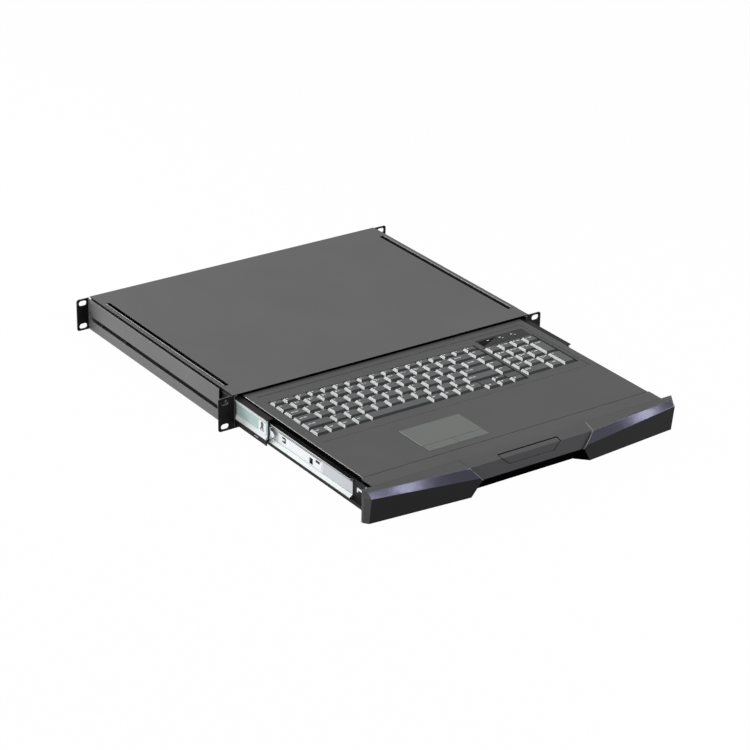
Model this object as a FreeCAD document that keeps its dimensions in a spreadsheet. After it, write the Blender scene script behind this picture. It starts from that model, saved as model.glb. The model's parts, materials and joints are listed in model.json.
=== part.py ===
import FreeCAD, Part
import math
import os
import Sketcher

# Rackmount keyboard drawer, one rack unit high, drawn out to its stop.
# Millimetres, Z up, front toward minus Y. The origin lies on the centre line, on the underside of the
# chassis and in the plane of the front ears' rear faces, where the rack's front rails are.

Vector = FreeCAD.Vector

SIZES = {
    # front ears
    "ear_span": 482.6,
    "ear_height": 43.6,
    "ear_sheet": 1.6,
    "ear_corner": 3.0,
    "ear_slot_margin": 8.75,
    "ear_slot_rise": 31.75,
    "ear_slot_length": 11.0,
    "ear_slot_width": 6.8,
    "ear_leg_length": 24.0,
    "ear_leg_margin": 4.0,
    "ear_screw_rise": 15.9,
    # chassis pan and cover
    "ear_reach": 21.7,
    "chassis_depth": 345.8,
    "chassis_sheet": 1.2,
    "wall_top": 43.1,
    "cover_sheet": 1.2,
    "cover_overhang": 2.0,
    "cover_flange_drop": 10.0,
    "rib_inset": 3.2,
    "rib_proud": 0.4,
    "rib_front": 27.0,
    "rib_back_margin": 31.8,
    "rib_end_gap": 1.0,
    "cover_slot_width": 7.2,
    "rib_side_gap": 0.5,
    "outlet_width": 120.0,
    "outlet_bottom": 8.0,
    "outlet_top": 28.0,
    "catch_width": 14.0,
    "catch_front": 3.0,
    "catch_back": 10.0,
    # rear brackets and their guide studs
    "bracket_gap": 3.6,
    "bracket_sheet": 1.4,
    "bracket_front": 24.6,
    "bracket_bottom": 0.4,
    "bracket_top": 42.5,
    "groove_bottom": 14.0,
    "groove_top": 20.0,
    "groove_front": 28.0,
    "groove_back_margin": 11.0,
    "groove_lip": 2.0,
    "stud_back_margin": 35.8,
    "stud_step": 60.0,
    "stud_clearance": 0.3,
    # slides, from the chassis wall inward
    "slide_sheet": 1.0,
    "run_gap": 0.4,
    "cabinet_lip_depth": 1.9,
    "cabinet_front": 4.0,
    "cabinet_back_margin": 25.8,
    "carriage_front": -70.5,
    "carriage_lead": 22.5,
    "member_setback": 1.5,
    "carriage_short": 35.8,
    "member_depth": 3.4,
    "member_bottom": 11.8,
    "member_height": 26.0,
    "outer_ball_gap": 5.6,
    "outer_race_rise": 4.6,
    "inner_ball_gap": 3.6,
    "inner_race_rise": 3.0,
    "retainer_play": 0.3,
    "retainer_width": 1.0,
    "outer_retainer_front": 20.0,
    "outer_retainer_length": 120.0,
    "inner_retainer_front": -66.0,
    "inner_retainer_length": 90.0,
    "channel_sheet": 1.2,
    "channel_skirt": 5.6,
    "skirt_slot_length": 10.0,
    "skirt_slot_inset": 18.5,
    "skirt_slot_height": 3.2,
    "track_depth": 3.5,
    "end_plate_inset": 4.0,
    "end_plate_length": 16.0,
    "end_dimple": 5.6,
    "end_dimple_offset": 3.6,
    "end_slot_length": 9.0,
    "end_slot_width": 3.0,
    "drawer_member_inset": 40.5,
    "drawer_member_back_inset": 1.0,
    "drawer_member_bottom": 8.4,
    "drawer_member_height": 24.6,
    "drawer_member_depth": 4.8,
    "step_plate_inset": 63.0,
    "step_plate_length": 90.0,
    "step_plate_sheet": 1.0,
    "step_plate_clear": 0.6,
    "stop_window_inset": 2.5,
    "stop_window_length": 8.5,
    "stop_window_height": 3.0,
    "stop_window_rise": 2.8,
    "hook_window_inset": 17.0,
    "hook_window_length": 7.0,
    "hook_window_height": 7.4,
    "hook_window_rise": -1.6,
    "lever_window_inset": 74.0,
    "lever_window_length": 8.0,
    "lever_window_height": 7.0,
    "lever_window_rise": 0.6,
    "lever_width": 3.0,
    "lever_length": 5.0,
    # drawer tray
    "slide_room": 10.3,
    "tray_sheet": 1.2,
    "tray_bottom": 7.0,
    "tray_wall_top": 33.4,
    "tray_flange": 4.8,
    "tray_lip_drop": 3.0,
    "tray_depth": 311.5,
    "bezel_plane": -277.5,
    "board_width": 150.0,
    "board_depth": 70.0,
    "board_sheet": 1.6,
    "board_lift": 5.0,
    "board_pad": 8.0,
    "board_centre_x": 60.0,
    "board_inset": 77.5,
    # keyboard deck
    "deck_top": 41.0,
    "deck_skin": 2.4,
    "deck_side": 1.6,
    "deck_rear_inset": 22.0,
    "ledge_depth": 23.2,
    "deck_edge_round": 1.4,
    "well_depth": 0.8,
    "well_side_margin": 4.3,
    "well_right_margin": 6.3,
    "well_back_margin": 18.9,
    "well_front_margin": 12.4,
    "well_groove_width": 2.2,
    "well_groove_depth": 0.7,
    "window_gap": 1.0,
    "window_right_gap": 1.8,
    "frame_wall": 2.6,
    "key_plate_top": 35.4,
    "key_plate_sheet": 1.2,
    "filler_gap": 0.6,
    "membrane_top": 29.4,
    "membrane_sheet": 1.2,
    # keys
    "key_margin": 16.4,
    "row_pitch": 18.3,
    "function_row_depth": 13.2,
    "key_block_inset": 77.4,
    "key_gap": 0.9,
    "key_side_slope": 2.5,
    "key_front_slope": 2.9,
    "key_back_slope": 2.2,
    "key_base": 38.3,
    "cap_height": 3.2,
    "stem_side": 5.0,
    "stem_foot": 32.2,
    "stem_play": 0.3,
    "tab_width": 25.5,
    "caps_width": 29.7,
    "left_shift_width": 39.7,
    "arrow_up_depth": 11.2,
    "arrow_low_depth": 13.6,
    "numpad_gap": 6.4,
    "numpad_pitch": 18.9,
    # touchpad and indicators
    "pad_left": -106.8,
    "pad_right": -20.8,
    "palm_gap": 24.0,
    "button_length": 13.8,
    "pad_front_inset": 12.5,
    "pad_rise": 0.35,
    "pad_sheet": 1.1,
    "button_play": 0.35,
    "button_depth": 3.8,
    "panel_left_inset": 3.4,
    "panel_right_out": 0.5,
    "panel_back_inset": 8.8,
    "panel_wall": 1.0,
    "panel_sheet": 0.9,
    "panel_play": 0.2,
    "light_length": 3.2,
    "light_width": 1.4,
    "light_step": 18.2,
    "light_shift_x": -2.7,
    "light_shift_y": 3.3,
    "light_proud": 0.1,
    # bezel
    "bezel_overhang": 5.0,
    "ledge_overhang": 0.9,
    "deck_seam": 0.3,
    "wing_foot_out": 9.2,
    "wing_crease_out": 13.2,
    "wing_crease_rise_out": 32.6,
    "wing_facet_out": 5.4,
    "wing_facet_rise_out": 38.2,
    "wing_root": 66.0,
    "wing_crease_in": 24.7,
    "wing_crease_rise_in": 23.1,
    "wing_facet_in": 22.1,
    "wing_facet_rise_in": 38.3,
    "wing_end_taper": 4.6,
    "wing_end_share": 0.35,
    "seam_low": 72.3,
    "seam_high": 91.8,
    "seam_gap": 0.3,
    "edge_depth": 17.5,
    "edge_rise": 36.8,
    "lip_depth": 21.5,
    "lip_rise": 19.5,
    "undercut_depth": 5.5,
    "recess_half_back": 71.9,
    "recess_half_front": 88.0,
    "recess_front_depth": 21.9,
    # latch
    "paddle_half_top": 42.0,
    "paddle_half_low": 32.0,
    "paddle_low": 28.5,
    "paddle_back": 10.8,
    "paddle_gap": 0.9,
    "paddle_swing_room": 1.3,
    "latch_axis_back": 13.0,
    "latch_axis_rise": 35.8,
    "latch_pin_diameter": 2.0,
    "latch_pin_play": 0.15,
    "latch_pin_overlap": 3.0,
    "arm_width": 6.0,
    "arm_thick": 2.8,
    "arm_back": 1.2,
    "arm_rise": 31.5,
    "arm_foot": 2.9,
    "arm_hook_drop": 1.2,
    "arm_reach": 10.0,
    "arm_room": 1.0,
    "arm_lift_room": 1.6,
    "arm_roof_gap": 0.4,
    "arm_slot_extra": 5.0,
    "angle_reach": 15.0,
    "angle_width": 5.6,
    "angle_bottom": 22.0,
    "angle_top": 32.5,
    "screw_head": 6.0,
    "screw_head_thick": 1.2,
    "screw_inset": 60.0,
}

doc = FreeCAD.newDocument("rackmount_keyboard")
sheet = doc.addObject("Spreadsheet::Sheet", "sizes")
for row, (alias, number) in enumerate(SIZES.items(), start=1):
    sheet.set(f"A{row}", alias)
    sheet.set(f"B{row}", str(number))
    sheet.setAlias(f"B{row}", alias)
doc.recompute()


class Size:
    """A length: its number now, and the sheet expression that drives it."""

    def __init__(self, number, text):
        self.number = number
        self.text = text

    def join(self, sign, number, other):
        return Size(number, f"({self.text} {sign} {other.text})")

    def __add__(self, other):
        other = as_size(other)
        return self.join("+", self.number + other.number, other)

    def __sub__(self, other):
        other = as_size(other)
        return self.join("-", self.number - other.number, other)

    def __mul__(self, other):
        other = as_size(other)
        return self.join("*", self.number * other.number, other)

    def __truediv__(self, other):
        other = as_size(other)
        return self.join("/", self.number / other.number, other)

    def __neg__(self):
        return self * -1

    def __radd__(self, other):
        return as_size(other) + self

    def __rsub__(self, other):
        return as_size(other) - self

    def __rmul__(self, other):
        return as_size(other) * self


def as_size(value):
    if isinstance(value, Size):
        return value
    return Size(float(value), f"{float(value):g}" if value >= 0 else f"(0 - {-float(value):g})")


def size(alias):
    return Size(float(sheet.get(alias)), f"sizes.{alias}")


def low_high(one, other):
    one, other = as_size(one), as_size(other)
    return (one, other) if one.number <= other.number else (other, one)


nodes = []


def node(label, thing):
    thing.Label = label
    nodes.append(thing)
    return thing


def new_body(label):
    return node(label, doc.addObject("PartDesign::Body", label))


# The three sketch planes: the origin plane's role, and the sign of its normal along its world axis.
NORMALS = {"XY": 1, "XZ": -1, "YZ": 1}


def sketch_at(body, plane, place):
    """A sketch on one of the body's origin planes, moved to a place along that plane's world axis."""
    sketch = body.newObject("Sketcher::SketchObject", f"{body.Name}_sketch")
    support = next(f for f in body.Origin.OriginFeatures if f.Role == f"{plane}_Plane")
    sketch.AttachmentSupport = [(support, "")]
    sketch.MapMode = "FlatFace"
    offset = as_size(place) * NORMALS[plane]
    sketch.setExpression("AttachmentOffset.Base.z", offset.text)
    return sketch


def pin_point(sketch, geometry, position, x, y):
    """Ties one point of the sketch to two sizes."""
    for kind, axis, value in (("DistanceX", -2, as_size(x)), ("DistanceY", -1, as_size(y))):
        if value.text == "0":
            sketch.addConstraint(Sketcher.Constraint("PointOnObject", geometry, position, axis))
            continue
        datum = Sketcher.Constraint(kind, -1, 1, geometry, position, value.number)
        index = sketch.addConstraint(datum)
        sketch.setExpression(f"Constraints[{index}]", value.text)


def polygon(sketch, points):
    points = [(as_size(x), as_size(y)) for x, y in points]
    corners = [Vector(x.number, y.number, 0) for x, y in points]
    count = len(points)
    edges = [Part.LineSegment(corners[i], corners[(i + 1) % count]) for i in range(count)]
    first = sketch.GeometryCount
    sketch.addGeometry(edges, False)
    joins = [
        Sketcher.Constraint("Coincident", first + i, 2, first + (i + 1) % count, 1) for i in range(count)
    ]
    sketch.addConstraint(joins)
    for i, (x, y) in enumerate(points):
        pin_point(sketch, first + i, 1, x, y)


def rectangle(sketch, x_low, y_low, x_high, y_high):
    polygon(sketch, [(x_low, y_low), (x_high, y_low), (x_high, y_high), (x_low, y_high)])


def circle(sketch, x, y, diameter):
    x, y, radius = as_size(x), as_size(y), as_size(diameter) / 2
    centre = Vector(x.number, y.number, 0)
    ring = sketch.addGeometry(Part.Circle(centre, Vector(0, 0, 1), radius.number), False)
    pin_point(sketch, ring, 3, x, y)
    index = sketch.addConstraint(Sketcher.Constraint("Radius", ring, radius.number))
    sketch.setExpression(f"Constraints[{index}]", radius.text)


def obround(sketch, x, y, length, width):
    """A slot with round ends, along the sketch's x axis."""
    radius = as_size(width) / 2
    reach = (as_size(length) - width) / 2
    ends = []
    for sign, start in ((-1, 1), (1, -1)):
        centre = x + sign * reach
        middle = Vector(as_size(centre).number, as_size(y).number, 0)
        ring = Part.Circle(middle, Vector(0, 0, 1), radius.number)
        quarter_turn = math.pi / 2
        arc = Part.ArcOfCircle(ring, start * quarter_turn, (start + 2) * quarter_turn)
        ends.append((sketch.addGeometry(arc, False), centre))
    sides = []
    for sign in (-1, 1):
        height = (y + sign * radius).number
        span = [Vector((x + end * reach).number, height, 0) for end in (sign, -sign)]
        sides.append(sketch.addGeometry(Part.LineSegment(*span), False))
    left, right = ends[0][0], ends[1][0]
    lower, upper = sides
    for one, other in ((left, lower), (lower, right), (right, upper), (upper, left)):
        sketch.addConstraint(Sketcher.Constraint("Tangent", one, 2, other, 1))
    for ring, centre in ends:
        pin_point(sketch, ring, 3, centre, y)
    index = sketch.addConstraint(Sketcher.Constraint("Radius", left, radius.number))
    sketch.setExpression(f"Constraints[{index}]", radius.text)


def pad(body, plane, low, high, draw):
    """Adds a prism of the drawn outline between two places along the plane's world axis."""
    low, high = low_high(low, high)
    sketch = sketch_at(body, plane, low if NORMALS[plane] > 0 else high)
    draw(sketch)
    feature = body.newObject("PartDesign::Pad", f"{body.Name}_pad")
    feature.Profile = sketch
    feature.setExpression("Length", (high - low).text)
    return feature


def cut(body, plane, low, high, draw):
    """Removes such a prism."""
    low, high = low_high(low, high)
    sketch = sketch_at(body, plane, high if NORMALS[plane] > 0 else low)
    draw(sketch)
    feature = body.newObject("PartDesign::Pocket", f"{body.Name}_pocket")
    feature.Profile = sketch
    feature.setExpression("Length", (high - low).text)
    return feature


def loft(body, kind, sections):
    """A ruled loft through outlines on parallel planes: each is a plane, a place and its points."""
    sketches = []
    for plane, place, points in sections:
        sketch = sketch_at(body, plane, place)
        polygon(sketch, points)
        sketches.append(sketch)
    feature = body.newObject(f"PartDesign::{kind}", f"{body.Name}_loft")
    feature.Profile = sketches[0]
    feature.Sections = sketches[1:]
    feature.Ruled = True
    return feature


def round_edges(body, feature, radius, wanted):
    """Rounds the edges of a feature that the test picks out."""
    doc.recompute()
    picked = [f"Edge{i}" for i, edge in enumerate(feature.Shape.Edges, start=1) if wanted(edge)]
    fillet = body.newObject("PartDesign::Fillet", f"{body.Name}_fillet")
    fillet.Base = (feature, picked)
    fillet.setExpression("Radius", as_size(radius).text)
    return fillet


def profile_bar(label, y_low, y_high, points):
    """A bent-sheet bar: one profile across the drawer, run from front to back."""
    body = new_body(label)
    pad(body, "XZ", y_low, y_high, lambda sketch: polygon(sketch, points))
    return body


def block(name, x_span, y_span, z_span):
    """A box between pairs of sizes."""
    thing = doc.addObject("Part::Box", name)
    for letter, side, span in zip("xyz", ("Length", "Width", "Height"), (x_span, y_span, z_span)):
        low, high = low_high(*span)
        thing.setExpression(side, (high - low).text)
        thing.setExpression(f"Placement.Base.{letter}", low.text)
    return thing


def disc(name, axis, centre, diameter, length):
    """A cylinder from a centre point along a world axis."""
    thing = doc.addObject("Part::Cylinder", name)
    turns = {"x": (Vector(0, 1, 0), 90), "y": (Vector(1, 0, 0), -90), "z": (Vector(0, 0, 1), 0)}
    thing.Placement = FreeCAD.Placement(Vector(), FreeCAD.Rotation(*turns[axis]))
    thing.setExpression("Radius", (as_size(diameter) / 2).text)
    thing.setExpression("Height", as_size(length).text)
    for letter, place in zip("xyz", centre):
        thing.setExpression(f"Placement.Base.{letter}", as_size(place).text)
    return thing


def group(label, things):
    """One node of several like pieces."""
    compound = doc.addObject("Part::Compound", label)
    compound.Links = things
    return node(label, compound)


SIDES = (("left", -1), ("right", 1))

# Shared places worked out from the sizes

ear_half = size("ear_span") / 2
ear_sheet = size("ear_sheet")
slot_half = ear_half - size("ear_slot_margin")
ear_middle = size("ear_height") / 2
slot_reach = size("ear_slot_rise") / 2

chassis_sheet = size("chassis_sheet")
wall_out = ear_half - size("ear_reach")
wall_in = wall_out - chassis_sheet
wall_top = size("wall_top")
chassis_depth = size("chassis_depth")
cover_top = wall_top + size("cover_sheet")
rear_face = chassis_depth + size("cover_sheet")
rib_out = wall_out - size("rib_inset")
rib_in = rib_out - chassis_sheet
rib_back = chassis_depth - size("rib_back_margin")

bracket_in = wall_out + size("bracket_gap")
bracket_out = bracket_in + size("bracket_sheet")
groove_middle = (size("groove_bottom") + size("groove_top")) / 2
groove_back = rear_face - size("groove_back_margin")

slide_sheet = size("slide_sheet")
member_out = wall_in - size("run_gap")
member_web_in = member_out - size("member_depth")
member_web_out = member_web_in + slide_sheet
member_bottom = size("member_bottom")
member_top = member_bottom + size("member_height")
channel_sheet = size("channel_sheet")
channel_in = member_web_in - channel_sheet
tray_out = wall_in - size("slide_room")
tray_in = tray_out - size("tray_sheet")
tray_bottom = size("tray_bottom")
tray_floor = tray_bottom + size("tray_sheet")
tray_wall_top = size("tray_wall_top")
bezel_plane = size("bezel_plane")
tray_rear = bezel_plane + size("tray_depth")

drawer_low = size("drawer_member_bottom")
drawer_high = drawer_low + size("drawer_member_height")
drawer_web = tray_out + slide_sheet
drawer_lip = tray_out + size("drawer_member_depth")
drawer_front = bezel_plane + size("drawer_member_inset")
drawer_back = tray_rear - size("drawer_member_back_inset")
carriage_length = chassis_depth - size("carriage_short")
track_low = drawer_low + slide_sheet + size("inner_ball_gap")
track_high = drawer_high - slide_sheet - size("inner_ball_gap")

deck_top = size("deck_top")
deck_under = deck_top - size("deck_skin")
well_floor = deck_top - size("well_depth")
key_plate_top = size("key_plate_top")
deck_front = bezel_plane + size("ledge_depth")
deck_rear = tray_rear - size("deck_rear_inset")
board_centre_y = bezel_plane + size("board_inset")
bezel_half = wall_out + size("bezel_overhang")


# Chassis pan: floor, walls with turned-in flanges, locating ribs and a rear wall

def build_pan():
    body = new_body("chassis_pan")
    under = wall_top - chassis_sheet
    right = [(wall_out, 0), (wall_out, wall_top), (rib_in, wall_top), (rib_in, under), (wall_in, under),
             (wall_in, chassis_sheet)]
    left = [(-x, z) for x, z in reversed(right)]
    pad(body, "XZ", -ear_sheet, chassis_depth, lambda sketch: polygon(sketch, right + left))
    pad(body, "XZ", chassis_depth - chassis_sheet, chassis_depth,
        lambda sketch: rectangle(sketch, -wall_in, chassis_sheet, wall_in, wall_top))
    rib_top = cover_top + size("rib_proud")

    def ribs(sketch):
        for name, sign in SIDES:
            rectangle(sketch, *sorted_box(sign * rib_in, wall_top, sign * rib_out, rib_top))

    pad(body, "XZ", size("rib_front"), rib_back, ribs)
    outlet_half = size("outlet_width") / 2
    cut(body, "XZ", chassis_depth - chassis_sheet * 2, chassis_depth,
        lambda sketch: rectangle(sketch, -outlet_half, size("outlet_bottom"), outlet_half,
                                 size("outlet_top")))
    catch_half = size("catch_width") / 2
    cut(body, "XY", 0, chassis_sheet,
        lambda sketch: rectangle(sketch, -catch_half, size("catch_front"), catch_half, size("catch_back")))


def sorted_box(x_one, y_one, x_two, y_two):
    x_low, x_high = low_high(x_one, x_two)
    y_low, y_high = low_high(y_one, y_two)
    return x_low, y_low, x_high, y_high


# Top cover: a flat lid with a long slot round each rib and a flange down the rear

def build_cover():
    body = new_body("top_cover")
    half = wall_out + size("cover_overhang")
    slot_out = rib_out + size("rib_side_gap")
    slot_in = slot_out - size("cover_slot_width")
    slot_front = size("rib_front") - size("rib_end_gap")
    slot_back = rib_back + size("rib_end_gap")

    def lid(sketch):
        rectangle(sketch, -half, -ear_sheet, half, rear_face)
        for name, sign in SIDES:
            rectangle(sketch, *sorted_box(sign * slot_in, slot_front, sign * slot_out, slot_back))

    pad(body, "XY", wall_top, cover_top, lid)
    pad(body, "XZ", chassis_depth, rear_face,
        lambda sketch: rectangle(sketch, -wall_out, wall_top - size("cover_flange_drop"), wall_out, wall_top))


def ear_outline(sketch, sign, inner):
    rectangle(sketch, *sorted_box(sign * inner, 0, sign * ear_half, size("ear_height")))
    for step in (-1, 1):
        obround(sketch, sign * slot_half, ear_middle + step * slot_reach,
                size("ear_slot_length"), size("ear_slot_width"))


def is_ear_corner(edge):
    """An outer corner of an ear plate: a straight edge along Y at the ear's far end."""
    middle = edge.CenterOfMass
    box = edge.BoundBox
    return abs(abs(middle.x) - ear_half.number) < 0.01 and box.YLength > 0.1 and box.ZLength < 0.01


# Front ears: a slotted plate and a leg along the chassis wall

def build_front_ear(name, sign):
    body = new_body(f"front_ear_{name}")
    margin = size("ear_leg_margin")
    pad(body, "YZ", sign * wall_out, sign * (wall_out + ear_sheet),
        lambda sketch: rectangle(sketch, -ear_sheet, margin, size("ear_leg_length"),
                                 size("ear_height") - margin))
    plate = pad(body, "XZ", -ear_sheet, 0, lambda sketch: ear_outline(sketch, sign, wall_out))
    round_edges(body, plate, size("ear_corner"), is_ear_corner)


# Rear brackets: a long plate with a guide slot, its upper edge turned in, and a slotted ear

def build_rear_bracket(name, sign):
    body = new_body(f"rear_bracket_{name}")

    def side_plate(sketch):
        rectangle(sketch, size("bracket_front"), size("bracket_bottom"), rear_face, size("bracket_top"))
        slot_low, slot_high = size("groove_bottom"), size("groove_top")
        slot_length = groove_back - size("groove_front")
        middle = size("groove_front") + slot_length / 2
        obround(sketch, middle, groove_middle, slot_length, slot_high - slot_low)

    pad(body, "YZ", sign * bracket_in, sign * bracket_out, side_plate)
    lip_in = bracket_in - size("groove_lip")
    lip_end = size("groove_top") - size("groove_bottom")
    pad(body, "XZ", size("groove_front") + lip_end, groove_back - lip_end,
        lambda sketch: rectangle(sketch, *sorted_box(sign * lip_in, size("groove_top"), sign * bracket_in,
                                                     size("groove_top") + size("bracket_sheet"))))
    plate = pad(body, "XZ", rear_face - ear_sheet, rear_face,
                lambda sketch: ear_outline(sketch, sign, bracket_in))
    round_edges(body, plate, size("ear_corner"), is_ear_corner)


# Guide studs on the chassis walls, in the brackets' slots

def build_studs():
    width = size("groove_top") - size("groove_bottom") - size("stud_clearance") * 2
    studs = []
    for name, sign in SIDES:
        for step in (0, 1):
            start = wall_out if sign > 0 else -bracket_out
            along = chassis_depth - size("stud_back_margin") - step * size("stud_step")
            place = (start, along, groove_middle)
            studs.append(disc(f"stud_{name}_{step}", "x", place, width, bracket_out - wall_out))
    group("bracket_guide_studs", studs)


# Slide members, each a channel in profile. The two carriages float, and the right one stands further out

def carriage_span(sign):
    front = size("carriage_front")
    if sign > 0:
        front = front - size("carriage_lead")
    return front, front + carriage_length


def build_cabinet_slide(name, sign):
    low = member_bottom + slide_sheet + size("outer_ball_gap")
    high = member_top - slide_sheet - size("outer_ball_gap")
    lip = wall_in - size("cabinet_lip_depth")
    web = wall_in - slide_sheet
    points = [(wall_in, low), (wall_in, high), (lip, high), (lip, high - slide_sheet),
              (web, high - slide_sheet), (web, low + slide_sheet), (lip, low + slide_sheet), (lip, low)]
    front = size("cabinet_front")
    profile_bar(f"cabinet_slide_{name}", front, chassis_depth - size("cabinet_back_margin"),
                [(sign * x, z) for x, z in points])


def build_carriage_member(name, sign):
    """Channel open outward, its ball races slanting from the web to the lips."""
    race = slide_sheet + size("outer_race_rise")
    points = [(member_web_in, member_bottom), (member_out, member_bottom),
              (member_out, member_bottom + slide_sheet), (member_web_out, member_bottom + race),
              (member_web_out, member_top - race), (member_out, member_top - slide_sheet),
              (member_out, member_top), (member_web_in, member_top)]
    front, back = carriage_span(sign)
    profile_bar(f"carriage_member_{name}", front + size("member_setback"), back,
                [(sign * x, z) for x, z in points])


def build_carriage_channel(name, sign):
    """Black channel over and under the member, with a skirt below and a roof over the drawer's member."""
    roof_in = tray_out + size("run_gap")
    roof_top = member_top + channel_sheet
    floor = member_bottom - channel_sheet
    skirt_in = member_out - channel_sheet
    skirt_low = floor - size("channel_skirt")
    points = [(roof_in, member_top), (channel_in, member_top), (channel_in, floor), (skirt_in, floor),
              (skirt_in, skirt_low), (member_out, skirt_low), (member_out, member_bottom),
              (member_web_in, member_bottom), (member_web_in, member_top), (member_out, member_top),
              (member_out, roof_top), (roof_in, roof_top)]
    front, back = carriage_span(sign)
    body = profile_bar(f"carriage_channel_{name}", front, back, [(sign * x, z) for x, z in points])
    slot_front = front + size("skirt_slot_inset")
    cut(body, "YZ", sign * skirt_in, sign * member_out,
        lambda sketch: rectangle(sketch, slot_front, floor - size("skirt_slot_height"),
                                 slot_front + size("skirt_slot_length"), floor))


def build_carriage_end(name, sign):
    """Stamped stop plate near the member's front end, between its ball races."""
    body = new_body(f"carriage_end_{name}")
    front = carriage_span(sign)[0] + size("end_plate_inset")
    back = front + size("end_plate_length")
    race = slide_sheet + size("outer_race_rise")
    low, high = member_bottom + race, member_top - race
    middle = (low + high) / 2
    out = wall_in - size("cabinet_lip_depth") - size("retainer_play")
    pad(body, "YZ", sign * member_web_out, sign * out,
        lambda sketch: rectangle(sketch, front, low, back, high))
    dimple_z = middle + size("end_dimple_offset")
    cut(body, "YZ", sign * (out + member_web_out) / 2, sign * out,
        lambda sketch: circle(sketch, (front + back) / 2, dimple_z, size("end_dimple")))
    slot_z = middle - size("end_dimple_offset")
    cut(body, "YZ", sign * member_web_out, sign * out,
        lambda sketch: obround(sketch, (front + back) / 2, slot_z, size("end_slot_length"),
                               size("end_slot_width")))


def build_carriage_track(name, sign):
    low, high = track_low, track_high
    lip = channel_in - size("track_depth")
    web = channel_in - slide_sheet
    points = [(channel_in, low), (channel_in, high), (lip, high), (lip, high - slide_sheet),
              (web, high - slide_sheet), (web, low + slide_sheet), (lip, low + slide_sheet), (lip, low)]
    profile_bar(f"carriage_track_{name}", *carriage_span(sign), [(sign * x, z) for x, z in points])


def build_drawer_slide(name, sign):
    """Bright channel on the tray's wall, with a raised stop plate, a lever and cut-outs."""
    race = slide_sheet + size("inner_race_rise")
    points = [(tray_out, drawer_low), (drawer_lip, drawer_low), (drawer_lip, drawer_low + slide_sheet),
              (drawer_web, drawer_low + race), (drawer_web, drawer_high - race),
              (drawer_lip, drawer_high - slide_sheet), (drawer_lip, drawer_high), (tray_out, drawer_high)]
    body = profile_bar(f"drawer_slide_{name}", drawer_front, drawer_back, [(sign * x, z) for x, z in points])
    plate_out = drawer_web + size("step_plate_sheet")
    plate_low = track_low + slide_sheet + size("step_plate_clear")
    plate_high = track_high - slide_sheet - size("step_plate_clear")
    middle = (plate_low + plate_high) / 2
    plate_front = drawer_front + size("step_plate_inset")
    plate_back = plate_front + size("step_plate_length")

    def raised(sketch):
        rectangle(sketch, plate_front, plate_low, plate_back, plate_high)

    pad(body, "YZ", sign * drawer_web, sign * plate_out, raised)

    def window_box(key):
        front = plate_front + size(f"{key}_inset")
        half = size(f"{key}_height") / 2
        centre = middle + size(f"{key}_rise")
        return front, centre - half, front + size(f"{key}_length"), centre + half

    def windows(sketch):
        for key in ("stop_window", "hook_window", "lever_window"):
            rectangle(sketch, *window_box(key))

    cut(body, "YZ", sign * tray_out, sign * plate_out, windows)
    front, low, back, high = window_box("lever_window")
    lever_low = (low + high - size("lever_width")) / 2
    pad(body, "YZ", sign * tray_out, sign * plate_out,
        lambda sketch: rectangle(sketch, back - size("lever_length"), lever_low, back,
                                 lever_low + size("lever_width")))


# Ball retainers: an upper and a lower strip in each stage

def build_retainer(label, sign, web, lip, low, high, stage):
    """Two strips beside the ball races: they keep clear of the slanting race, the web and the lip."""
    play = size("retainer_play")
    outer = lip - play
    inner = outer - size("retainer_width")
    share = (lip - inner) / (lip - web)
    over_race = size(f"{stage}_race_rise") * share + play
    depth = size(f"{stage}_ball_gap") - play
    front, length = size(f"{stage}_retainer_front"), size(f"{stage}_retainer_length")
    x_span = low_high(sign * inner, sign * outer)
    strips = [
        block(f"{label}_low", x_span, (front, front + length), (low + over_race, low + depth)),
        block(f"{label}_high", x_span, (front, front + length), (high - depth, high - over_race)),
    ]
    group(label, strips)


def build_retainers(name, sign):
    build_retainer(f"outer_retainer_{name}", sign, member_web_out, member_out, member_bottom + slide_sheet,
                   member_top - slide_sheet, "outer")
    build_retainer(f"inner_retainer_{name}", sign, drawer_web, drawer_lip, drawer_low + slide_sheet,
                   drawer_high - slide_sheet, "inner")


# Drawer tray: floor with lipped outward flanges, side walls, front and rear walls, notched for the latch arm

def build_tray():
    body = new_body("drawer_tray")
    flange = tray_out + size("tray_flange")
    sheet_gauge = size("tray_sheet")
    lip_in = flange - sheet_gauge
    lip_low = tray_bottom - size("tray_lip_drop")
    right = [(lip_in, tray_bottom), (lip_in, lip_low), (flange, lip_low), (flange, tray_floor),
             (tray_out, tray_floor), (tray_out, tray_wall_top), (tray_in, tray_wall_top),
             (tray_in, tray_floor)]
    left = [(-x, z) for x, z in reversed(right)]
    pad(body, "XZ", bezel_plane, tray_rear, lambda sketch: polygon(sketch, right + left))
    pad(body, "XZ", bezel_plane, bezel_plane + sheet_gauge,
        lambda sketch: rectangle(sketch, -tray_in, tray_floor, tray_in, deck_under))
    pad(body, "XZ", tray_rear - sheet_gauge, tray_rear,
        lambda sketch: rectangle(sketch, -tray_in, tray_floor, tray_in, tray_wall_top))

    board_pad = size("board_pad")
    half_x = size("board_width") / 2 - board_pad
    half_y = size("board_depth") / 2 - board_pad

    def board_seats(sketch):
        for x_sign in (-1, 1):
            for y_sign in (-1, 1):
                x = size("board_centre_x") + x_sign * half_x
                y = board_centre_y + y_sign * half_y
                rectangle(sketch, x - board_pad / 2, y - board_pad / 2, x + board_pad / 2, y + board_pad / 2)

    pad(body, "XY", tray_floor, tray_floor + size("board_lift"), board_seats)
    notch = size("arm_width") / 2 + size("arm_room")
    cut(body, "XZ", bezel_plane, bezel_plane + sheet_gauge,
        lambda sketch: rectangle(sketch, -notch, tray_bottom, notch, deck_under))
    cut(body, "XY", tray_bottom, tray_floor,
        lambda sketch: rectangle(sketch, -notch, bezel_plane, notch,
                                 bezel_plane + size("arm_reach") + size("arm_slot_extra")))


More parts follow.
